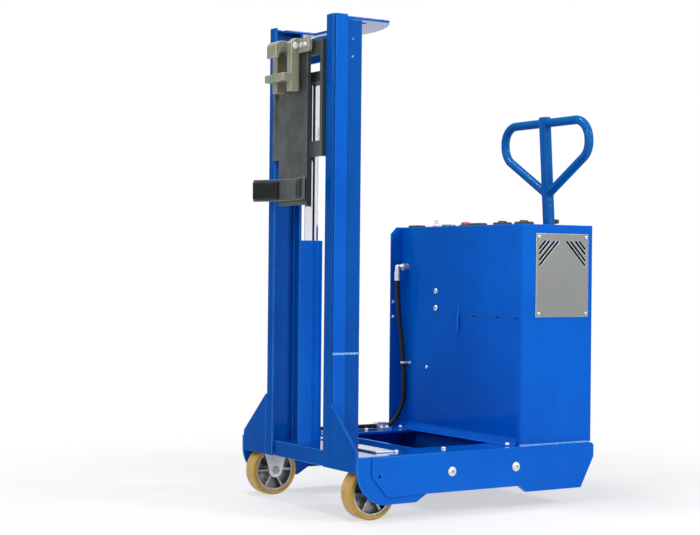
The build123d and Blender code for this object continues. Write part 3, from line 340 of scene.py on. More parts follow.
def build_low_dust():
    group, entry, leave = new_group(
        "Low dust",
        (("Scale", "value", 30.0), ("Reach", "value", 0.25), ("Color", "colour", (1, 1, 1, 1)),
         ("Dust", "colour", (0.3, 0.27, 0.22, 1)), ("Most", "value", 0.2)),
        (("Color", "colour"), ("Mask", "value")),
    )
    place = group.nodes.new("ShaderNodeTexCoord")
    axes_of = group.nodes.new("ShaderNodeSeparateXYZ")
    link_nodes(group, place, "Object", axes_of, "Vector")
    height = add_range(group, 0.0, 1.0, 1.0, 0.0)
    link_nodes(group, axes_of, "Z", height, "Value")
    link_nodes(group, entry, "Reach", height, "From Max")
    patches = add_range(group, 0.4, 0.7)
    link_nodes(group, add_noise(group, entry, 4, 0.65), "Fac", patches, "Value")
    mask = height.outputs["Result"]
    for share in (patches.outputs["Result"], entry.outputs["Most"]):
        times = group.nodes.new("ShaderNodeMath")
        times.operation = "MULTIPLY"
        group.links.new(mask, times.inputs[0])
        group.links.new(share, times.inputs[1])
        mask = times.outputs[0]
    mix = mix_colours(group, mask)
    link_nodes(group, entry, "Color", mix, COLOUR_A)
    link_nodes(group, entry, "Dust", mix, COLOUR_B)
    link_nodes(group, mix, MIXED_COLOUR, leave, "Color")
    group.links.new(mask, leave.inputs["Mask"])
    return group


CLOUDY, GRAIN = build_cloudy_tone(), build_fine_grain()
LINES, DUST = build_fine_lines(), build_low_dust()
print("groups", [group.name for group in (CLOUDY, GRAIN, LINES, DUST)])

# %% [markdown]
# ## Finishes
# One function wires the usual chain: a cloudy tone into the colour, its mask into the roughness, and a
# grain or a set of lines into a bump. A finish is then one call with its own colours and scales. The
# tiller has a blue of its own, a little darker than the cabinet's. The mast's parts are darker too, as
# painted shade, and the iron casting of the counterweight is painted too.

# %% Parts of the chain
# How patchy the painted shade and the painted highlights on marked places are.
UNEVEN_MARK_SCALE, LEAST_MARK_SHARE = 24.0, 0.3
SLANT_RAMP, GRAZING_RAMP = (0.20, 0.42), (0.66, 0.86)


def place_group(tree, group, **values):
    node = tree.nodes.new("ShaderNodeGroup")
    node.node_tree = group
    for label, value in values.items():
        node.inputs[label].default_value = value
    return node


def mark_places(tree, name, accent, colour):
    """Blend an accent over a colour where the mesh carries a named number, unevenly in cloudy patches. The
    accents are painted shade in hollows, the gauge dial's own dark face, and a painted highlight on rounded
    edges.
    """
    marked = tree.nodes.new("ShaderNodeAttribute")
    marked.attribute_name = name
    uneven = place_group(tree, CLOUDY, Scale=UNEVEN_MARK_SCALE)
    share = add_range(tree, 0.0, 1.0, LEAST_MARK_SHARE, 1.0)
    link_nodes(tree, uneven, "Mask", share, "Value")
    factor = tree.nodes.new("ShaderNodeMath")
    factor.operation = "MULTIPLY"
    link_nodes(tree, marked, "Fac", factor, 0)
    link_nodes(tree, share, "Result", factor, 1)
    mix = mix_colours(tree, factor.outputs[0])
    mix.inputs[COLOUR_B].default_value = accent
    tree.links.new(colour, mix.inputs[COLOUR_A])
    return mix.outputs[MIXED_COLOUR]


def add_varnish(tree, shader, straight, slanted, grazing):
    """A coat whose weight changes with the angle at which a face is seen."""
    shader.inputs["Coat Weight"].default_value = straight
    facing_away = tree.nodes.new("ShaderNodeLayerWeight")
    varnish = tree.nodes.new("ShaderNodeMath")
    varnish.operation = "ADD"
    ramps = (add_range(tree, *SLANT_RAMP, straight, slanted),
             add_range(tree, *GRAZING_RAMP, 0.0, grazing - slanted))
    for entry, ramp in enumerate(ramps):
        link_nodes(tree, facing_away, "Facing", ramp, "Value")
        link_nodes(tree, ramp, "Result", varnish, entry)
    link_nodes(tree, varnish, 0, shader, "Coat Weight")


print("uneven mark scale", UNEVEN_MARK_SCALE)

# %% One function for the usual chain
COAT_ROUGHNESS = 0.06
FINISH = {}


def make_finish(slot, dark, light, roughness, tone_scale=6.0, grain=(400.0, 0.00005),
                metallic=0.0, coat=0.0, specular=0.5, lines=None, dust=0.0, recess=None, edge=None):
    """A material with its own name. Recess is a colour for marked points: painted shade in hollows, and the
    gauge dial's own dark face. Edge is a colour for marked faces: a painted highlight on rounded edges.
    """
    finish = bpy.data.materials.new(slot)
    finish.use_nodes = True
    tree = finish.node_tree
    shader = tree.nodes["Principled BSDF"]
    shader.inputs["Metallic"].default_value = metallic
    shader.inputs["Specular IOR Level"].default_value = specular
    if isinstance(coat, tuple):
        add_varnish(tree, shader, *coat)
    else:
        shader.inputs["Coat Weight"].default_value = coat
    shader.inputs["Coat Roughness"].default_value = COAT_ROUGHNESS
    tone = place_group(tree, CLOUDY, Scale=tone_scale, Dark=srgb(*dark), Light=srgb(*light))
    colour = tone.outputs["Color"]
    if dust:
        dusty = place_group(tree, DUST, Most=dust)
        tree.links.new(colour, dusty.inputs["Color"])
        colour = dusty.outputs["Color"]
    # Recess points take painted shade, except the dial's own dark face, and edge faces take a painted
    # highlight.
    for name, accent in (("recess", recess), ("edge", edge)):
        if accent is not None:
            colour = mark_places(tree, name, srgb(*accent), colour)
    tree.links.new(colour, shader.inputs["Base Color"])
    gloss = add_range(tree, 0.0, 1.0, *roughness)
    link_nodes(tree, gloss, "Result", shader, "Roughness")
    scale, depth = grain
    if lines is None:
        relief = place_group(tree, GRAIN, Scale=scale)
        link_nodes(tree, tone, "Mask", gloss, "Value")
    else:
        relief = place_group(tree, LINES, Scale=scale, Stretch=lines)
        link_nodes(tree, relief, "Mask", gloss, "Value")
    bump = tree.nodes.new("ShaderNodeBump")
    bump.inputs["Distance"].default_value = depth
    bump.inputs["Strength"].default_value = 1.0
    link_nodes(tree, relief, "Height", bump, "Height")
    link_nodes(tree, bump, "Normal", shader, "Normal")
    FINISH[slot] = finish


print("coat roughness", COAT_ROUGHNESS)

# %% Paints
GLOSS = {
    "tone_scale": 4.0, "grain": (260.0, 0.00003), "coat": (0.16, 0.03, 0.8), "specular": 0.01, "dust": 0.02,
}
# The recess colour is painted shade in the panel's notches, and the edge colour is a painted highlight on
# rounded edges.
make_finish(
    "blue_paint", (0, 88, 194), (0, 102, 210), (0.16, 0.10), recess=(0, 14, 62),
    edge=(56, 138, 226), **GLOSS)
# The mast's parts take a darker copy of the blue, which is painted shade, with a painted highlight on their
# edges.
make_finish(
    "mast_painted_shade", (0, 74, 162), (0, 88, 178), (0.16, 0.10), edge=(52, 132, 220), **GLOSS)
make_finish(
    "tube_paint", (0, 84, 157), (0, 98, 174), (0.16, 0.10), tone_scale=4.0,
    grain=(200.0, 0.000008), coat=(0.3, 0.04, 0.04), specular=0.01)
# The edge colours of these paints are painted highlights on rounded edges.
make_finish(
    "dark_paint", (46, 53, 55), (66, 74, 75), (0.62, 0.42), tone_scale=14.0,
    grain=(320.0, 0.0002), edge=(112, 120, 119))
make_finish(
    "olive_paint", (132, 132, 112), (156, 155, 134), (0.5, 0.34), tone_scale=12.0,
    grain=(300.0, 0.0001), edge=(196, 195, 176))
# A light blue for the bright weld beads and the small mast screws: a painted highlight.
make_finish(
    "painted_highlight_blue", (36, 126, 220), (150, 208, 246), (0.34, 0.2), tone_scale=160.0,
    grain=(500.0, 0.0001), specular=0.3)
print("paints", sorted(FINISH))

# %% Metals
# The recess colour darkens the floors of the screw sockets: painted shade.
make_finish(
    "zinc_steel", (206, 211, 209), (234, 238, 236), (0.44, 0.30), tone_scale=40.0,
    grain=(500.0, 0.00004), metallic=0.85, recess=(98, 102, 104))
make_finish(
    "bare_steel", (150, 151, 152), (186, 187, 188), (0.42, 0.26), tone_scale=30.0,
    grain=(700.0, 0.00004), metallic=1.0, lines=(0.03, 1.0, 1.0))
make_finish(
    "chromed_rod", (214, 215, 219), (230, 231, 234), (0.10, 0.06), tone_scale=20.0,
    grain=(900.0, 0.00001), metallic=1.0, lines=(1.0, 1.0, 0.03))
# The hubs' marked points turn near black: painted shade deep in their pockets.
make_finish(
    "cast_aluminium", (150, 150, 148), (196, 196, 194), (0.42, 0.24), tone_scale=60.0,
    grain=(600.0, 0.00015), metallic=1.0, recess=(28, 29, 28))
# The edge colour is a painted highlight on rounded edges.
make_finish(
    "stainless", (128, 131, 129), (136, 139, 137), (0.50, 0.40), tone_scale=5.0,
    grain=(1400.0, 0.00002), metallic=0.6, lines=(1.0, 1.0, 0.015), edge=(222, 228, 228))
make_finish(
    "cast_iron", (0, 78, 146), (0, 94, 166), (0.75, 0.55), tone_scale=25.0,
    grain=(350.0, 0.0006), specular=0.2)
print("finishes", len(FINISH))

# %% Rubber and plastic
make_finish(
    "amber_tread", (178, 134, 38), (208, 168, 62), (0.34, 0.22), tone_scale=22.0,
    grain=(350.0, 0.0001), coat=0.12, dust=0.14)
make_finish(
    "black_rubber", (12, 14, 18), (26, 28, 33), (0.66, 0.48), tone_scale=30.0,
    grain=(420.0, 0.0002), specular=0.3, dust=0.12)
make_finish(
    "black_plastic", (26, 26, 28), (38, 38, 40), (0.44, 0.32), tone_scale=30.0,
    grain=(800.0, 0.00008))
make_finish(
    "red_plastic", (180, 22, 18), (204, 34, 26), (0.3, 0.2), tone_scale=40.0,
    grain=(700.0, 0.00004), coat=0.3)
make_finish(
    "teal_plastic", (40, 120, 122), (66, 150, 150), (0.26, 0.16), tone_scale=40.0,
    grain=(700.0, 0.00003), coat=0.4, recess=(20, 25, 27))
make_finish(
    "dark_window", (12, 14, 16), (18, 20, 22), (0.10, 0.06), tone_scale=30.0, coat=1.0)
make_finish(
    "pale_mark", (214, 214, 208), (232, 232, 228), (0.5, 0.4), tone_scale=60.0)
print("finishes", len(FINISH))

# %% Give every solid its finish
SLOT_OF = {part["node"]: part["material_slot"] for part in frame["record"]["subparts"]}
# The mast's parts get the darker blue of painted shade.
OWN_PAINT = {
    "tube_paint": ("tiller_stem", "tiller_loop"),
    "mast_painted_shade": ("mast_channel_left", "mast_channel_right", "mast_top_plate", "mast_cross_plate",
                   "shoulder_plates", "front_beam"),
}
FINISH_OF = {**SLOT_OF, **{node: paint for paint, nodes in OWN_PAINT.items() for node in nodes}}
for node, solid in frame["nodes"].items():
    solid.data.materials.clear()
    solid.data.materials.append(FINISH[FINISH_OF[node]])
print("solids with a finish", len(SLOT_OF))

# %% [markdown]
# ## Soft edges
# Sheet steel is never knife sharp: the saw, the folding press and the paint all round its edges, and
# those thin rounded edges catch the light. A Bevel modifier could do it, but a copy of each solid with
# its triangles joined back into flat faces gives cleaner edges to bevel. The copy then stands for the
# solid. Weighted normals keep the large flat faces flat.

# %% Piece helper
def add_piece(name, shape, body, slot, *nodes, finish=None, smooth=38):
    """A finished bmesh becomes a piece that rides on a body and may stand for solids."""
    mesh = bpy.data.meshes.new(name)
    shape.to_mesh(mesh)
    shape.free()
    mesh.materials.append(FINISH[finish or slot])
    mesh.shade_smooth()
    mesh.set_sharp_from_angle(angle=radians(smooth))
    piece = bpy.data.objects.new(name, mesh)
    scene.collection.objects.link(piece)
    even = piece.modifiers.new("even_shading", "WEIGHTED_NORMAL")
    even.keep_sharp = True
    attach(piece, body)
    if nodes:
        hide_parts(*nodes)
    return piece


def body_of(node):
    return frame["nodes"][node]["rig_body"]


JOIN_WITHIN, FLAT_WITHIN = 0.00001, radians(0.5)


def copy_solid(node):
    """A node's triangles as one joined mesh with flat faces."""
    shape = bmesh.new()
    shape.from_mesh(frame["nodes"][node].data)
    bmesh.ops.remove_doubles(shape, verts=shape.verts, dist=JOIN_WITHIN)
    bmesh.ops.dissolve_limit(shape, angle_limit=FLAT_WITHIN, verts=shape.verts, edges=shape.edges)
    return shape


def round_edges(shape, width, least_angle=38, segments=2):
    """Bevel the sharp edges and mark the new faces, so that a finish can paint a highlight on them."""
    painted_highlight_layer = shape.faces.layers.float.new("edge")
    sharp = [
        edge for edge in shape.edges
        if len(edge.link_faces) == 2 and edge.calc_face_angle() > radians(least_angle)
    ]
    made = bmesh.ops.bevel(shape, geom=sharp, offset=width, offset_type="OFFSET", segments=segments,
                           profile=0.5, affect="EDGES", clamp_overlap=False, material=-1)
    for face in made["faces"]:
        face[painted_highlight_layer] = 1.0
    return shape


print("joins points within", JOIN_WITHIN * 1000, "mm")

# %% Edge widths, in metres
SOFT_EDGES = {
    0.0022: ("mast_channel_left", "mast_channel_right", "front_beam", "gripper_beak", "counterweight",
             "power_pack", "drum_rest", "panel_lug"),
    0.0015: ("side_frame_left", "side_frame_right", "shoulder_plates", "mast_cross_plate",
             "mast_top_plate", "gripper_frame", "steer_yoke", "steer_fork", "ram_barrel",
             "roller_upper_left", "roller_upper_right", "roller_lower_left", "roller_lower_right"),
    0.0010: ("carriage_frame", "castor_forks", "tie_plates", "key_barrel", "battery", "vent_plate",
             "ram_rod", "roller_pins", "steer_head"),
    0.0008: ("side_skirt_left", "side_skirt_right", "mast_doublers"),
    0.0006: ("cabinet_shell", "cabinet_top", "front_panel_upper", "chassis_tray", "switch_bezels"),
    0.0003: ("key", "main_rocker", "lift_rocker", "grip_rocker"),
    # The clip and the band are too thin for a bevel, so they are only joined.
    0.0: ("hose_fittings",),
}
for width, nodes in SOFT_EDGES.items():
    for node in nodes:
        shape = copy_solid(node)
        if width:
            round_edges(shape, width)
        add_piece(f"{node}.soft", shape, body_of(node), SLOT_OF[node], node, finish=FINISH_OF[node])
print("softened", sum(len(nodes) for nodes in SOFT_EDGES.values()))

# %% [markdown]
# ## Notches over the panel seam
# The upper front panel has three notches over its seam, and the lower panel's lap shows through them, in
# deep shade. Soft light from all around would fill such a shallow place, so the lap's own points carry a
# number called recess that turns its paint dark: a painted shade.

# %% Shade in the notches
def mark_recess(shape, depth_at):
    """Store a number from 0 to 1 on every point, which a finish with a recess colour reads: painted shade
    on the panel's lap and in the hubs' pockets, and the gauge dial's own dark face.
    """
    layer = shape.verts.layers.float.new("recess")
    for vert in shape.verts:
        vert[layer] = depth_at(vert.co)


PANEL_EDGE, SHADE_BEHIND, SHADE_BELOW = 0.0006, 0.0008, 0.0016
lower_panel = round_edges(copy_solid("front_panel_lower"), PANEL_EDGE)
upper_low, upper_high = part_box("front_panel_upper")
lap_y, lap_z = upper_high.y - SHADE_BEHIND, upper_low.z - SHADE_BELOW
# The lap's points behind the notches are marked for painted shade.
mark_recess(lower_panel, lambda point: 1.0 if point.y > lap_y and point.z > lap_z else 0.0)
print("lower panel points", len(lower_panel.verts))
add_piece("front_panel_lower.soft", lower_panel, "chassis", SLOT_OF["front_panel_lower"],
          "front_panel_lower")

# %% [markdown]
# ## Bolts and screws
# The solids hold each fastener as a plain low cone. On the machine they are domed heads with a six-sided
# recess, some on a washer, and the small ones high on the mast are painted over. Typing in two dozen
# places would be dull and easy to get wrong, so each plain head is measured instead: its thin side is
# the axis, and its narrow end points outwards. A head's rings are joined point by point, because
# bridging a round ring to a six-sided one twists the faces.

# %% Measure the plain heads
def find_lumps(node):
    """The separate lumps of a node, each as a list of points."""
    shape = copy_solid(node)
    seen, lumps = set(), []
    for first in shape.verts:
        if first in seen:
            continue
        seen.add(first)
        waiting, lump = [first], []
        while waiting:
            vert = waiting.pop()
            lump.append(vert.co.copy())
            near = [edge.other_vert(vert) for edge in vert.link_edges]
            waiting += [other for other in near if other not in seen]
            seen.update(near)
        lumps.append(lump)
    shape.free()
    return lumps


def box_of(points):
    low = Vector([min(point[axis] for point in points) for axis in range(3)])
    high = Vector([max(point[axis] for point in points) for axis in range(3)])
    return low, high


SAME_LEVEL = 0.00005


def measure_head(lump):
    """Where a plain head sits, the way that it points, its diameter and its height."""
    low, high = box_of(lump)
    size, middle = high - low, (low + high) / 2
    axis = min(range(3), key=lambda i: size[i])

    def reach(level):
        ends = [point for point in lump if abs(point[axis] - level) < SAME_LEVEL]
        return max((point - middle).length for point in ends)

    outward = Vector((0, 0, 0))
    outward[axis] = 1 if reach(high[axis]) < reach(low[axis]) else -1
    return middle - outward * size[axis] / 2, outward, max(size), size[axis]


HEADS = [measure_head(lump) for lump in find_lumps("body_fasteners")]
print("plain heads", len(HEADS), "of", sorted({round(head[2] * 1000) for head in HEADS}), "mm")

# %% Shape one head
def six_sided(angle, corner):
    """How far out a hexagon lies in one direction, for the distance of its corners."""
    return corner * cos(pi / 6) / cos(angle % (pi / 3) - pi / 6)


def stack_rings(rings, segments=24):
    """Closed skin over rings about Z. A ring is a reach, its height, and whether it is six-sided.

    The points of the first ring are marked as a recess, which a finish paints dark as shade.
    """
    shape = bmesh.new()
    recess = shape.verts.layers.float.new("recess")
    angles = [2 * pi * step / segments for step in range(segments)]
    loops = []
    for reach, height, flat_sides in rings:
        out = [six_sided(angle, reach) if flat_sides else reach for angle in angles]
        loops.append([shape.verts.new((far * cos(angle), far * sin(angle), height))
                      for far, angle in zip(out, angles)])
    for low, high in zip(loops, loops[1:]):
        for step in range(segments):
            shape.faces.new((low[step - 1], low[step], high[step], high[step - 1]))
    for cap in (loops[0], loops[-1]):
        shape.faces.new(cap)
    for vert in loops[0]:
        vert[recess] = 1.0
    bmesh.ops.recalc_face_normals(shape, faces=shape.faces)
    return shape


WASHER_T, WASHER_CORNER, HEAD_ON_WASHER = 0.0016, 0.0003, 0.8
RECESS_SHARE, RECESS_FLARE, RECESS_FLOOR = 0.46, 1.06, 0.5
CROWN_SHARE, DOME_SHARE, DOME_ANGLES = 0.66, 0.75, (25, 50, 75, 90)


def domed_head(diameter, height, washer=False):
    """A head that stands on Z = 0, with a six-sided recess."""
    foot_z = WASHER_T if washer else 0.0
    radius = diameter / 2 * (HEAD_ON_WASHER if washer else 1.0)
    recess, crown = radius * RECESS_SHARE, radius * CROWN_SHARE
    floor_z = foot_z + (height - foot_z) * RECESS_FLOOR
    rings = [(recess, floor_z, True), (recess * RECESS_FLARE, height, True), (crown, height, False)]
    for angle in DOME_ANGLES:
        drop = (height - foot_z) * DOME_SHARE * (1 - cos(radians(angle)))
        rings.append((crown + (radius - crown) * sin(radians(angle)), height - drop, False))
    rings.append((radius, foot_z, False))
    if washer:
        for corner, level in ((WASHER_CORNER, foot_z), (0.0, foot_z - WASHER_CORNER), (0.0, 0.0)):
            rings.append((diameter / 2 - corner, level, False))
    return stack_rings(rings)


def facing(seat, outward):
    """The matrix that stands a Z-up shape on a seat."""
    turn = Vector((0, 0, 1)).rotation_difference(outward).to_matrix().to_4x4()
    return Matrix.Translation(seat) @ turn


def take_in(shape, part, matrix=None):
    """Add a finished part to a larger shape."""
    if matrix is not None:
        part.transform(matrix)
    mesh = bpy.data.meshes.new("part")
    part.to_mesh(mesh)
    part.free()
    shape.from_mesh(mesh)
    bpy.data.meshes.remove(mesh)


print("a head's recess is", RECESS_SHARE, "of its radius")

# %% Stand the heads on their places
WASHER_FROM, MAST_SCREWS_FROM_Z, SMALLER = 0.02, 1.2, 0.62
screws, painted_screws = bmesh.new(), bmesh.new()
for seat, outward, diameter, height in HEADS:
    if seat.z > MAST_SCREWS_FROM_Z:
        take_in(painted_screws, domed_head(diameter * SMALLER, height * SMALLER), facing(seat, outward))
    else:
        take_in(screws, domed_head(diameter, height, diameter > WASHER_FROM), facing(seat, outward))
print("screw faces", len(screws.faces), len(painted_screws.faces))
add_piece("body_fasteners.heads", screws, "chassis", "zinc_steel", "body_fasteners", smooth=50)
# The small mast screws take the light blue of a painted highlight.
add_piece("mast.painted_heads", painted_screws, "chassis", "blue_paint", finish="painted_highlight_blue", smooth=50)

# %% [markdown]
# ## Turned pieces
# Tyres, ferrules, pins and knobs are all shapes from a lathe. A profile of radius and height pairs is
# spun about Z, and the result is stood on its place. Where the profile touches the axis, the spin leaves
# many points in one spot, so doubles are merged and the normals are made to point outwards.

# %% Lathe helper
MERGE_WITHIN = 0.000002


def turned(profile, segments=32, closed=False):
    shape = bmesh.new()
    verts = [shape.verts.new((radius, 0, height)) for radius, height in profile]
    pairs = list(zip(verts, verts[1:])) + ([(verts[-1], verts[0])] if closed else [])
    edges = [shape.edges.new(pair) for pair in pairs]
    bmesh.ops.spin(shape, geom=verts + edges, cent=(0, 0, 0), axis=(0, 0, 1), angle=2 * pi,
                   steps=segments, use_merge=True)
    bmesh.ops.remove_doubles(shape, verts=shape.verts, dist=MERGE_WITHIN)
    bmesh.ops.recalc_face_normals(shape, faces=shape.faces)
    return shape


print("lathe merges points within", MERGE_WITHIN * 1000, "mm")

# %% Tyres
MOULD_LINE, LINE_DEPTH = (0.0012, 0.0020, 0.0028), 0.0005
TREAD_EDGE, TREAD_EDGE_DROP, PARTING_HALF, PARTING_DEPTH = 0.002, 0.0001, 0.0015, 0.0003


def tyre_profile(inner, outer, half):
    """Half a section of a bonded tyre, mirrored: flat wall, moulded line, round shoulder, flat tread."""
    round_r = (outer - inner) / 2
    line_in, line_middle, line_out = [inner + reach for reach in MOULD_LINE]
    wall = [(inner, half), (line_in, half), (line_middle, half - LINE_DEPTH), (line_out, half),
            (outer - round_r, half)]
    for angle in range(15, 90, 15):
        turn = radians(angle)
        wall.append((outer - round_r * (1 - sin(turn)), half - round_r * (1 - cos(turn))))
    wall += [(outer - TREAD_EDGE_DROP, half - round_r), (outer, half - round_r - TREAD_EDGE),
             (outer, PARTING_HALF), (outer - PARTING_DEPTH, 0.0)]
    return wall + [(radius, -height) for radius, height in reversed(wall[:-1])]


ALONG_X = Vector((1, 0, 0))
for node in ("wheel_tyre_left", "wheel_tyre_right", "steer_wheel_tyre"):
    low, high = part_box(node)
    hub_low, hub_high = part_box(node.replace("tyre", "hub"))
    profile = tyre_profile((hub_high.z - hub_low.z) / 2, (high.z - low.z) / 2, (high.x - low.x) / 2)
    tyre = turned(profile, 70, closed=True)
    tyre.transform(facing((low + high) / 2, ALONG_X))
    add_piece(f"{node}.moulded", tyre, body_of(node), "amber_tread", node)

# %% [markdown]
# ## Hydraulic hose
# A rubber hose leaves a crimped elbow on the front panel, drops in an easy curve, turns along the side
# frame through a clip and ends at the ram. A bevelled curve gives a round tube, but its line matters
# more: a NURBS spline runs smoothly past its control points, as a stiff hose does. The tube is turned
# into a mesh so that its rubber can be shaded like every other piece.

# %% Hose line
HOSE_RADIUS = 0.007
HOSE_POINTS = (
    (-0.2770, 0.08125, 0.6520), (-0.2770, 0.08225, 0.5970), (-0.2760, 0.10125, 0.4400),
    (-0.2690, 0.10725, 0.3000), (-0.2790, 0.10525, 0.2430), (-0.2960, 0.07425, 0.1863),
    (-0.2960, 0.03200, 0.1863), (-0.2960, -0.1340, 0.1863), (-0.2960, -0.23375, 0.1863),
    (-0.2150, -0.33475, 0.1965), (-0.0800, -0.33475, 0.1970), (-0.04455, -0.36120, 0.1970),
)


def smooth_line(name, points, radius, rounds=4, steps=10, ring=False, ripple=1.0):
    """A NURBS tube past a list of control points, as a mesh. Every second point may be thinner."""
    curve = bpy.data.curves.new(name, "CURVE")
    curve.dimensions = "3D"
    curve.bevel_depth = radius
    curve.bevel_resolution = rounds
    curve.resolution_u = steps
    spline = curve.splines.new("NURBS")
    spline.points.add(len(points) - 1)
    for number, place in enumerate(points):
        spline.points[number].co = (*place, 1.0)
        spline.points[number].radius = ripple if number % 2 else 1.0
    spline.order_u = 3
    spline.use_cyclic_u = ring
    spline.use_endpoint_u = not ring
    line = bpy.data.objects.new(name, curve)
    scene.collection.objects.link(line)
    bpy.context.view_layer.update()
    ready = line.evaluated_get(bpy.context.evaluated_depsgraph_get())
    mesh = bpy.data.meshes.new_from_object(ready)
    shape = bmesh.new()
    shape.from_mesh(mesh)
    bpy.data.objects.remove(line)
    bpy.data.meshes.remove(mesh)
    bmesh.ops.remove_doubles(shape, verts=shape.verts, dist=MERGE_WITHIN)
    open_ends = [edge for edge in shape.edges if edge.is_boundary]
    bmesh.ops.holes_fill(shape, edges=open_ends)
    bmesh.ops.recalc_face_normals(shape, faces=shape.faces)
    return shape


tube = smooth_line("hose_line", HOSE_POINTS, HOSE_RADIUS)
print("hose faces", len(tube.faces))
add_piece("hose.rubber", tube, "chassis", "black_rubber", "hose", smooth=60)

# %% Crimped ferrules at both ends
FERRULE_RADIUS, FERRULE_LENGTH, PLAIN_END, CORNER = 0.0094, 0.024, 0.002, 0.0006
CRIMPS, CRIMP_DEPTH, CRIMP_SHARES, HOSE_SQUEEZE = 4, 0.0007, (0.2, 0.6, 0.8), 0.0003


def crimped_sleeve(bore):
    """A sleeve with pressed rings, from Z = 0 upwards."""
    pitch = (FERRULE_LENGTH - 2 * PLAIN_END) / CRIMPS
    grip = FERRULE_RADIUS - CRIMP_DEPTH
    outline = [(bore, 0.0), (FERRULE_RADIUS - CORNER, 0.0), (FERRULE_RADIUS, CORNER)]
    for ring in range(CRIMPS):
        start = PLAIN_END + ring * pitch
        down, along, up = [start + pitch * share for share in CRIMP_SHARES]
        outline += [(FERRULE_RADIUS, start), (grip, down), (grip, along), (FERRULE_RADIUS, up)]
    rim = FERRULE_LENGTH - PLAIN_END / 2
    outline += [(FERRULE_RADIUS, rim), (grip, FERRULE_LENGTH), (bore, FERRULE_LENGTH)]
    return turned(outline, 24, closed=True)


ferrules = bmesh.new()
elbow_end, ram_end = Vector(HOSE_POINTS[0]), Vector(HOSE_POINTS[-1])
along_hose = (Vector(HOSE_POINTS[-2]) - ram_end).normalized()
for end, way in ((elbow_end, Vector((0, 0, 1))), (ram_end, along_hose)):
    take_in(ferrules, crimped_sleeve(HOSE_RADIUS - HOSE_SQUEEZE), facing(end, way))
print("ferrule faces", len(ferrules.faces))
add_piece("hose.ferrules", ferrules, "chassis", "zinc_steel")

# %% [markdown]
# ## Castors and wheels
# Each front wheel runs on a bolt with a six-sided head and nut outside the pressed fork. A hexagon with
# its corners turned off is a six-sided cone with a bevelled end. The cast hubs need soft edges, and
# painted shade deep between their spokes.

# %% Axle bolts
NUT_CORNER, NEAR_TOP, THREAD_DEPTH = 0.0012, 0.9, 0.0004


def hex_nut(across, thick):
    """A nut that stands on Z = 0: a hexagon whose upper end is turned to a chamfer."""
    nut = bmesh.new()
    radius = across / 2
    bmesh.ops.create_cone(nut, cap_ends=True, segments=6, radius1=radius, radius2=radius, depth=thick,
                          matrix=Matrix.Translation((0, 0, thick / 2)))
    top = [edge for edge in nut.edges if all(vert.co.z > thick * NEAR_TOP for vert in edge.verts)]
    bmesh.ops.bevel(nut, geom=top, offset=NUT_CORNER, segments=2, profile=0.5, affect="EDGES",
                    material=-1, offset_type="OFFSET", clamp_overlap=False)
    return nut


def threaded_end(radius, length, turns=2):
    """The last turns of a bolt past its nut, as a stack of small ridges."""
    outline, pitch = [(0.0, 0.0), (radius, 0.0)], length / turns
    for turn in range(turns):
        outline += [(radius - THREAD_DEPTH, (turn + 0.5) * pitch), (radius, (turn + 1) * pitch)]
    return turned(outline + [(0.0, length)], 20)


AXLE_RADIUS, AXLE_HEAD_T, NUT_ACROSS = 0.00795, 0.005, 0.0256
THREAD_RADIUS, THREAD_PAST_NUT = 0.006, 0.0015


def axle_bolts(centres, half_length):
    """Bolts along X with a head and a nut, each about its own centre."""
    bolts = bmesh.new()
    reach, nut_t = half_length - AXLE_HEAD_T, AXLE_HEAD_T - THREAD_PAST_NUT
    shaft = [(0.0, -reach), (AXLE_RADIUS, -reach), (AXLE_RADIUS, reach), (0.0, reach)]
    for centre in centres:
        take_in(bolts, turned(shaft, 32), facing(centre, ALONG_X))
        for outward in (ALONG_X, -ALONG_X):
            seat = centre + outward * reach
            end = threaded_end(THREAD_RADIUS, THREAD_PAST_NUT)
            take_in(bolts, hex_nut(NUT_ACROSS, nut_t), facing(seat, outward))
            take_in(bolts, end, facing(seat + outward * nut_t, outward))
    return bolts


def middle_of(node):
    low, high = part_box(node)
    return (low + high) / 2


hubs = [middle_of("wheel_hub_left"), middle_of("wheel_hub_right")]
axle_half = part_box("castor_axles")[1].x - hubs[0].x
add_piece("castor_axles.bolts", axle_bolts(hubs, axle_half), "chassis", "zinc_steel", "castor_axles",
          finish="bare_steel", smooth=30)
print("axle half length", round(axle_half, 4))

# %% Cast hubs
HUB_EDGE, HUB_LEAST_ANGLE = 0.0008, 45
DARK_AT_MIDDLE, DARK_FALL = 1.15, 1.25


def darken_pockets(hub, middle_x, half):
    """Mark the points of a hub for painted shade, the more the nearer they are to its middle plane."""
    mark_recess(hub, lambda point: min(
        1.0, max(0.0, DARK_AT_MIDDLE - abs(point.x - middle_x) / half * DARK_FALL)))


for node in ("wheel_hub_left", "wheel_hub_right", "steer_wheel_hub"):
    low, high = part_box(node)
    hub = round_edges(copy_solid(node), HUB_EDGE, HUB_LEAST_ANGLE)
    darken_pockets(hub, middle_of(node).x, (high.x - low.x) / 2)
    add_piece(f"{node}.cast", hub, body_of(node), "cast_aluminium", node)

# %% [markdown]
# ## Rubber pads
# Two rubber pads line the saddle that a drum's wall leans on. Smooth blocks would look like plastic, so
# each pad gets ribs: a comb-shaped section is spun about the drum's upright axis through the angle that
# the pad covers.

# %% Ribbed pads
RIBS, GROOVE, RIB_SHARES = 7, 0.0018, (0.2, 0.7, 0.9)


def ribbed_section(inner, outer, low, high):
    """The comb-shaped section of a pad as radius and height pairs, from its upper back corner."""
    pitch = (high - low) / RIBS
    front = []
    for rib in range(RIBS):
        start = low + rib * pitch
        rise, crest, fall = [start + pitch * share for share in RIB_SHARES]
        front += [(inner + GROOVE, start), (inner, rise), (inner, crest), (inner + GROOVE, fall)]
    return [(outer, high), (outer, low), *front, (inner + GROOVE, high)]


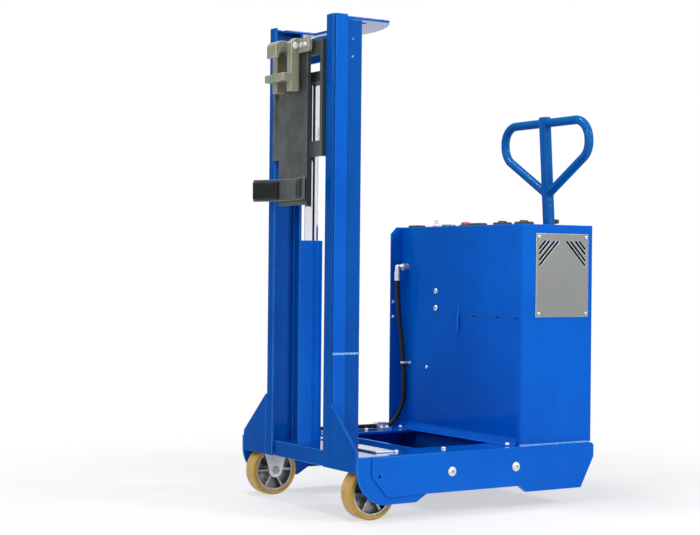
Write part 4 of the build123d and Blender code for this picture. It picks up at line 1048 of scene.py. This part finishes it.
def spin_section(section, centre, from_angle, to_angle, steps=14):
    """A solid swept about an upright axis. Angles are from +Y towards +X."""
    shape = bmesh.new()
    start = radians(from_angle)
    verts = [shape.verts.new((centre.x + radius * sin(start), centre.y + radius * cos(start), height))
             for radius, height in section]
    face = shape.faces.new(verts)
    bmesh.ops.spin(shape, geom=[face, *face.edges, *verts], cent=centre, axis=(0, 0, -1),
                   angle=radians(to_angle - from_angle), steps=steps)
    bmesh.ops.remove_doubles(shape, verts=shape.verts, dist=MERGE_WITHIN)
    bmesh.ops.recalc_face_normals(shape, faces=shape.faces)
    return shape


REST_RADIUS, REST_T, PAD_T, PAD_ANGLES = 0.252, 0.008, 0.006, (12.4, 33.6)
pad_low, pad_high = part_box("rest_pads")
drum_axis = Vector((0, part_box("drum_rest")[1].y - REST_RADIUS - REST_T, 0))
pads = bmesh.new()
section = ribbed_section(REST_RADIUS - PAD_T, REST_RADIUS, pad_low.z, pad_high.z)
for low_angle, high_angle in (PAD_ANGLES, (-PAD_ANGLES[1], -PAD_ANGLES[0])):
    take_in(pads, spin_section(section, drum_axis, low_angle, high_angle))
print("pad faces", len(pads.faces))
add_piece("rest_pads.ribbed", pads, "carriage", "black_rubber", "rest_pads")

# %% [markdown]
# ## Pins and bolts of the steering and the gripper
# A hinge pin is a turned piece: a shaft with a wider head at each end and its corners taken off. The
# same profile with no step makes the plain tiller pin. The gripper's bolts have six-sided heads, and the
# rear wheel's axle is bolted as the front ones are. All are measured from the solids, as the screws were.

# %% Hinge pins
HINGE_PIN_RADIUS, PIN_HEAD_T, PIN_CORNER = 0.006, 0.005, 0.001
PIN_FROM_LENGTH, AXLE_FROM_WIDTH = 0.02, 0.02


def headed_pin(half, radius, head_r):
    """A pin along Z about the origin, with a chamfered head at each end."""
    neck = half - PIN_HEAD_T
    end = [(0.0, half), (head_r - PIN_CORNER, half), (head_r, half - PIN_CORNER), (head_r, neck),
           (radius, neck)]
    return turned(end + [(reach, -level) for reach, level in reversed(end)], 32)


grip_set, steer_set = bmesh.new(), bmesh.new()
for lump in find_lumps("gripper_fasteners"):
    low, high = box_of(lump)
    if high.x - low.x < PIN_FROM_LENGTH:
        seat, outward, diameter, height = measure_head(lump)
        take_in(grip_set, hex_nut(diameter, height), facing(seat, outward))
    else:
        pin = headed_pin((high.x - low.x) / 2, HINGE_PIN_RADIUS, (high.z - low.z) / 2)
        take_in(grip_set, pin, facing((low + high) / 2, ALONG_X))
for lump in find_lumps("steer_pins"):
    low, high = box_of(lump)
    middle, half, radius = (low + high) / 2, (high.x - low.x) / 2, (high.z - low.z) / 2
    if 2 * radius > AXLE_FROM_WIDTH:
        take_in(steer_set, axle_bolts([middle], half))
    else:
        take_in(steer_set, headed_pin(half, radius, radius), facing(middle, ALONG_X))
add_piece("gripper_fasteners.heads", grip_set, "carriage", SLOT_OF["gripper_fasteners"],
          "gripper_fasteners", smooth=30)
add_piece("steer_pins.bolts", steer_set, "steering", SLOT_OF["steer_pins"], "steer_pins", smooth=30)

# %% [markdown]
# ## Welds
# A weld bead is a row of small overlapping drops. A tube whose radius swells and shrinks from point to
# point gives that ripple with few faces, so the hose's curve helper makes the beads too. On the tiller
# the bead has to follow a saddle-shaped seam, so its points are read from the loop's own sharp edges.

# %% Bead helpers
DROP_PITCH, DROP_RIPPLE = 0.003, 0.55


def drops_along(start, end, pitch=DROP_PITCH):
    """Points a pitch apart on a straight seam."""
    start, end = Vector(start), Vector(end)
    count = max(2, round((end - start).length / pitch))
    return [start.lerp(end, drop / count) for drop in range(count + 1)]


def bead(points, radius, ring=False):
    return smooth_line("bead", points, radius, rounds=1, steps=2, ring=ring, ripple=DROP_RIPPLE)


print("drops per metre", round(1 / DROP_PITCH))

# %% Beads on the mast's foot
SHOULDER_BEAD, BEAM_BEAD, BEAD_CLEAR = 0.003, 0.0028, 0.002
welds, bright_welds = bmesh.new(), bmesh.new()
mast_low, mast_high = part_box("mast_channel_left")
beam_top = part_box("front_beam")[1].z
for lump in find_lumps("shoulder_plates"):
    low, high = box_of(lump)
    seam_x = (mast_high.x + min(abs(low.x), abs(high.x))) / 2 * (1 if low.x > 0 else -1)
    seam_y = (low.y + high.y) / 2
    upright = drops_along((seam_x, seam_y, low.z + BEAD_CLEAR), (seam_x, seam_y, high.z))
    take_in(welds, bead(upright, SHOULDER_BEAD))
for side in (1, -1):
    across = drops_along((side * (mast_low.x + BEAD_CLEAR), mast_high.y, beam_top),
                         (side * (mast_high.x - BEAD_CLEAR), mast_high.y, beam_top))
    take_in(welds, bead(across, BEAM_BEAD))
print("bead faces", len(welds.faces))

# %% Bright beads on the cabinet's foot and across the mast
FOOT_PITCH, FOOT_BEAD, FOOT_ENDS_BEFORE = 0.009, 0.0045, 0.012
SPLICE_Z, SPLICE_PITCH, SPLICE_BEAD, SPLICE_SUNK, SPLICE_PAST = 0.451, 0.0055, 0.0050, 0.0025, 0.001
shell_low, shell_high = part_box("cabinet_shell")
panel_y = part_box("front_panel_upper")[0].y
foot_rear_y = shell_high.y - FOOT_ENDS_BEFORE
for wall_x in (shell_low.x, shell_high.x):
    foot = drops_along((wall_x, panel_y, shell_low.z), (wall_x, foot_rear_y, shell_low.z), FOOT_PITCH)
    take_in(bright_welds, bead(foot, FOOT_BEAD))
for lump in find_lumps("mast_doublers"):
    low, high = box_of(lump)
    side = 1 if low.x > 0 else -1
    strip_x = side * (max(abs(low.x), abs(high.x)) - SPLICE_SUNK)
    on_strip = (strip_x, low.y - SPLICE_PAST, high.y)
    on_channel = (side * mast_high.x, high.y, mast_high.y - SPLICE_PAST)
    for seam_x, front, rear in (on_strip, on_channel):
        splice = drops_along((seam_x, front, SPLICE_Z), (seam_x, rear, SPLICE_Z), SPLICE_PITCH)
        take_in(bright_welds, bead(splice, SPLICE_BEAD))
print("bright bead faces", len(bright_welds.faces))
# The bright beads take the light blue of a painted highlight.
add_piece("chassis.bright_welds", bright_welds, "chassis", "painted_highlight_blue", smooth=70)
add_piece("chassis.welds", welds, "chassis", "blue_paint", smooth=70)

# %% Tiller seams
TILLER_PIVOT, TILLER_LEAN = Vector((0, 0.51125, 0.262)), radians(3.5)
STEM_RADIUS, ON_STEM_WITHIN, SHARP_FROM, TILLER_BEAD = 0.019, 0.0003, radians(40), 0.0026
stem_axis = Vector((0, -sin(TILLER_LEAN), cos(TILLER_LEAN)))
stem_back = Vector((0, cos(TILLER_LEAN), sin(TILLER_LEAN)))


def on_stem(point):
    offset = point - TILLER_PIVOT
    return abs((offset - stem_axis * offset.dot(stem_axis)).length - STEM_RADIUS) < ON_STEM_WITHIN


def seam_rings(shape, on_seam):
    """The closed rings of sharp edges whose ends lie on a seam, each as points in order."""
    loose = [edge for edge in shape.edges
             if edge.calc_face_angle(0) > SHARP_FROM and all(on_seam(vert.co) for vert in edge.verts)]
    rings = []
    while loose:
        first, vert = loose.pop().verts
        ring = [first.co.copy()]
        while vert is not first:
            ring.append(vert.co.copy())
            edge = next(item for item in vert.link_edges if item in loose)
            loose.remove(edge)
            vert = edge.other_vert(vert)
        rings.append(ring)
    return rings


loop_copy = copy_solid("tiller_loop")
seams = seam_rings(loop_copy, on_stem)
loop_copy.free()
tiller_welds = bmesh.new()
for ring in seams:
    take_in(tiller_welds, bead(ring, TILLER_BEAD, ring=True))
print("seams", len(seams), "of", [len(ring) for ring in seams], "drops")
add_piece("tiller.welds", tiller_welds, "tiller", "blue_paint", finish="tube_paint", smooth=70)

# %% Clamp knob
LOBES, LOBE_DEPTH, GRIP_FROM = 7, 0.09, 0.25
KNOB_OUTLINE = (
    # share of the radius, share of the length
    (0.0, 0.0), (0.62, 0.0), (0.62, 0.2), (0.9, 0.28), (1.0, 0.4), (1.0, 0.8), (0.9, 0.93), (0.66, 1.0),
    (0.0, 1.0),
)


def lobed_knob(radius, length):
    """A hand knob that stands on Z = 0, its grip pressed in between the lobes."""
    knob = turned([(radius * out, length * up) for out, up in KNOB_OUTLINE], LOBES * 6)
    for vert in knob.verts:
        if vert.co.z > length * GRIP_FROM:
            press = 1 - LOBE_DEPTH * (0.5 - 0.5 * cos(LOBES * atan2(vert.co.y, vert.co.x)))
            vert.co.x, vert.co.y = vert.co.x * press, vert.co.y * press
    return knob


KNOB_Z, KNOB_RADIUS, KNOB_LENGTH = 0.844, 0.008, 0.020
up_stem = stem_axis * (KNOB_Z - TILLER_PIVOT.z) / cos(TILLER_LEAN)
knob_foot = TILLER_PIVOT + up_stem + stem_back * STEM_RADIUS
knob = lobed_knob(KNOB_RADIUS, KNOB_LENGTH)
knob.transform(facing(knob_foot, stem_back))
print("knob faces", len(knob.faces))
add_piece("tiller_knob.lobed", knob, "tiller", SLOT_OF["tiller_knob"], "tiller_knob")

# %% [markdown]
# ## Dial and window
# The gauge is a turned cup with a sunken dark dial. One mesh and one finish are enough: a number stored
# on each point, here called recess, tells the finish where to turn dark. The marks on the dial and the
# hour meter's window are small bevelled blocks.

# %% Charge gauge
def block(size, centre, edge):
    shape = bmesh.new()
    bmesh.ops.create_cube(shape, size=1.0)
    bmesh.ops.scale(shape, vec=size, verts=shape.verts)
    bmesh.ops.translate(shape, vec=centre, verts=shape.verts)
    return round_edges(shape, edge)


DIAL_SHARE, DIAL_SUNK, ON_DIAL_WITHIN = 0.76, 0.0016, 0.0001
low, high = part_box("charge_gauge")
gauge_foot = Vector(((low.x + high.x) / 2, (low.y + high.y) / 2, low.z))
gauge_r, gauge_h = (high.x - low.x) / 2, high.z - low.z
dial_r, dial_z = gauge_r * DIAL_SHARE, gauge_h - DIAL_SUNK
inner_rim = [(dial_r + out, gauge_h - down) for out, down in ((0.0008, 0.0003), (0.0015, 0.0))]
outer_rim = [(gauge_r - inset, gauge_h - down)
             for inset, down in ((0.0022, 0.0), (0.0007, 0.0008), (0.0, 0.0026))]
gauge = turned([(0.0, dial_z), (dial_r, dial_z), *inner_rim, *outer_rim, (gauge_r, 0.0), (0.0, 0.0)], 48)


def in_dial(point):
    return abs(point.z - dial_z) < ON_DIAL_WITHIN and point.xy.length < dial_r + ON_DIAL_WITHIN


mark_recess(gauge, lambda point: 1.0 if in_dial(point) else 0.0)
gauge.transform(Matrix.Translation(gauge_foot))
print("gauge radius", round(gauge_r * 1000), "mm")
add_piece("charge_gauge.cup", gauge, "chassis", "teal_plastic", "charge_gauge")

# %% Marks on the dial
MARK_RISE, MARK_EDGE, TICK_AT, NEEDLE_AT, NEEDLE_ANGLE = 0.0002, 0.0001, 0.8, 0.005, -24
TICK_SIZE, NEEDLE_SIZE = (0.0011, 0.0040, 0.0004), (0.0009, 0.0120, 0.0004)
marks = bmesh.new()
bars = [(TICK_SIZE, dial_r * TICK_AT, angle) for angle in range(-60, 61, 24)]
for size, reach, angle in bars + [(NEEDLE_SIZE, NEEDLE_AT, NEEDLE_ANGLE)]:
    bar = block(size, (0, reach, dial_z + MARK_RISE), MARK_EDGE)
    take_in(marks, bar, Matrix.Translation(gauge_foot) @ Matrix.Rotation(radians(angle), 4, "Z"))
print("dial marks", len(bars))
add_piece("charge_gauge.marks", marks, "chassis", "pale_mark")

# %% Hour meter window
METER_X, METER_WINDOW, WINDOW_SUNK, WINDOW_EDGE = 0.023, (0.030, 0.015, 0.0008), 0.0001, 0.0003
meter_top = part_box("switch_bezels")[1].z
window = block(METER_WINDOW, (METER_X, gauge_foot.y, meter_top - WINDOW_SUNK), WINDOW_EDGE)
print("window faces", len(window.faces))
add_piece("hour_meter.window", window, "chassis", "dark_window")

# %% Close the lesson
low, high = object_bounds()
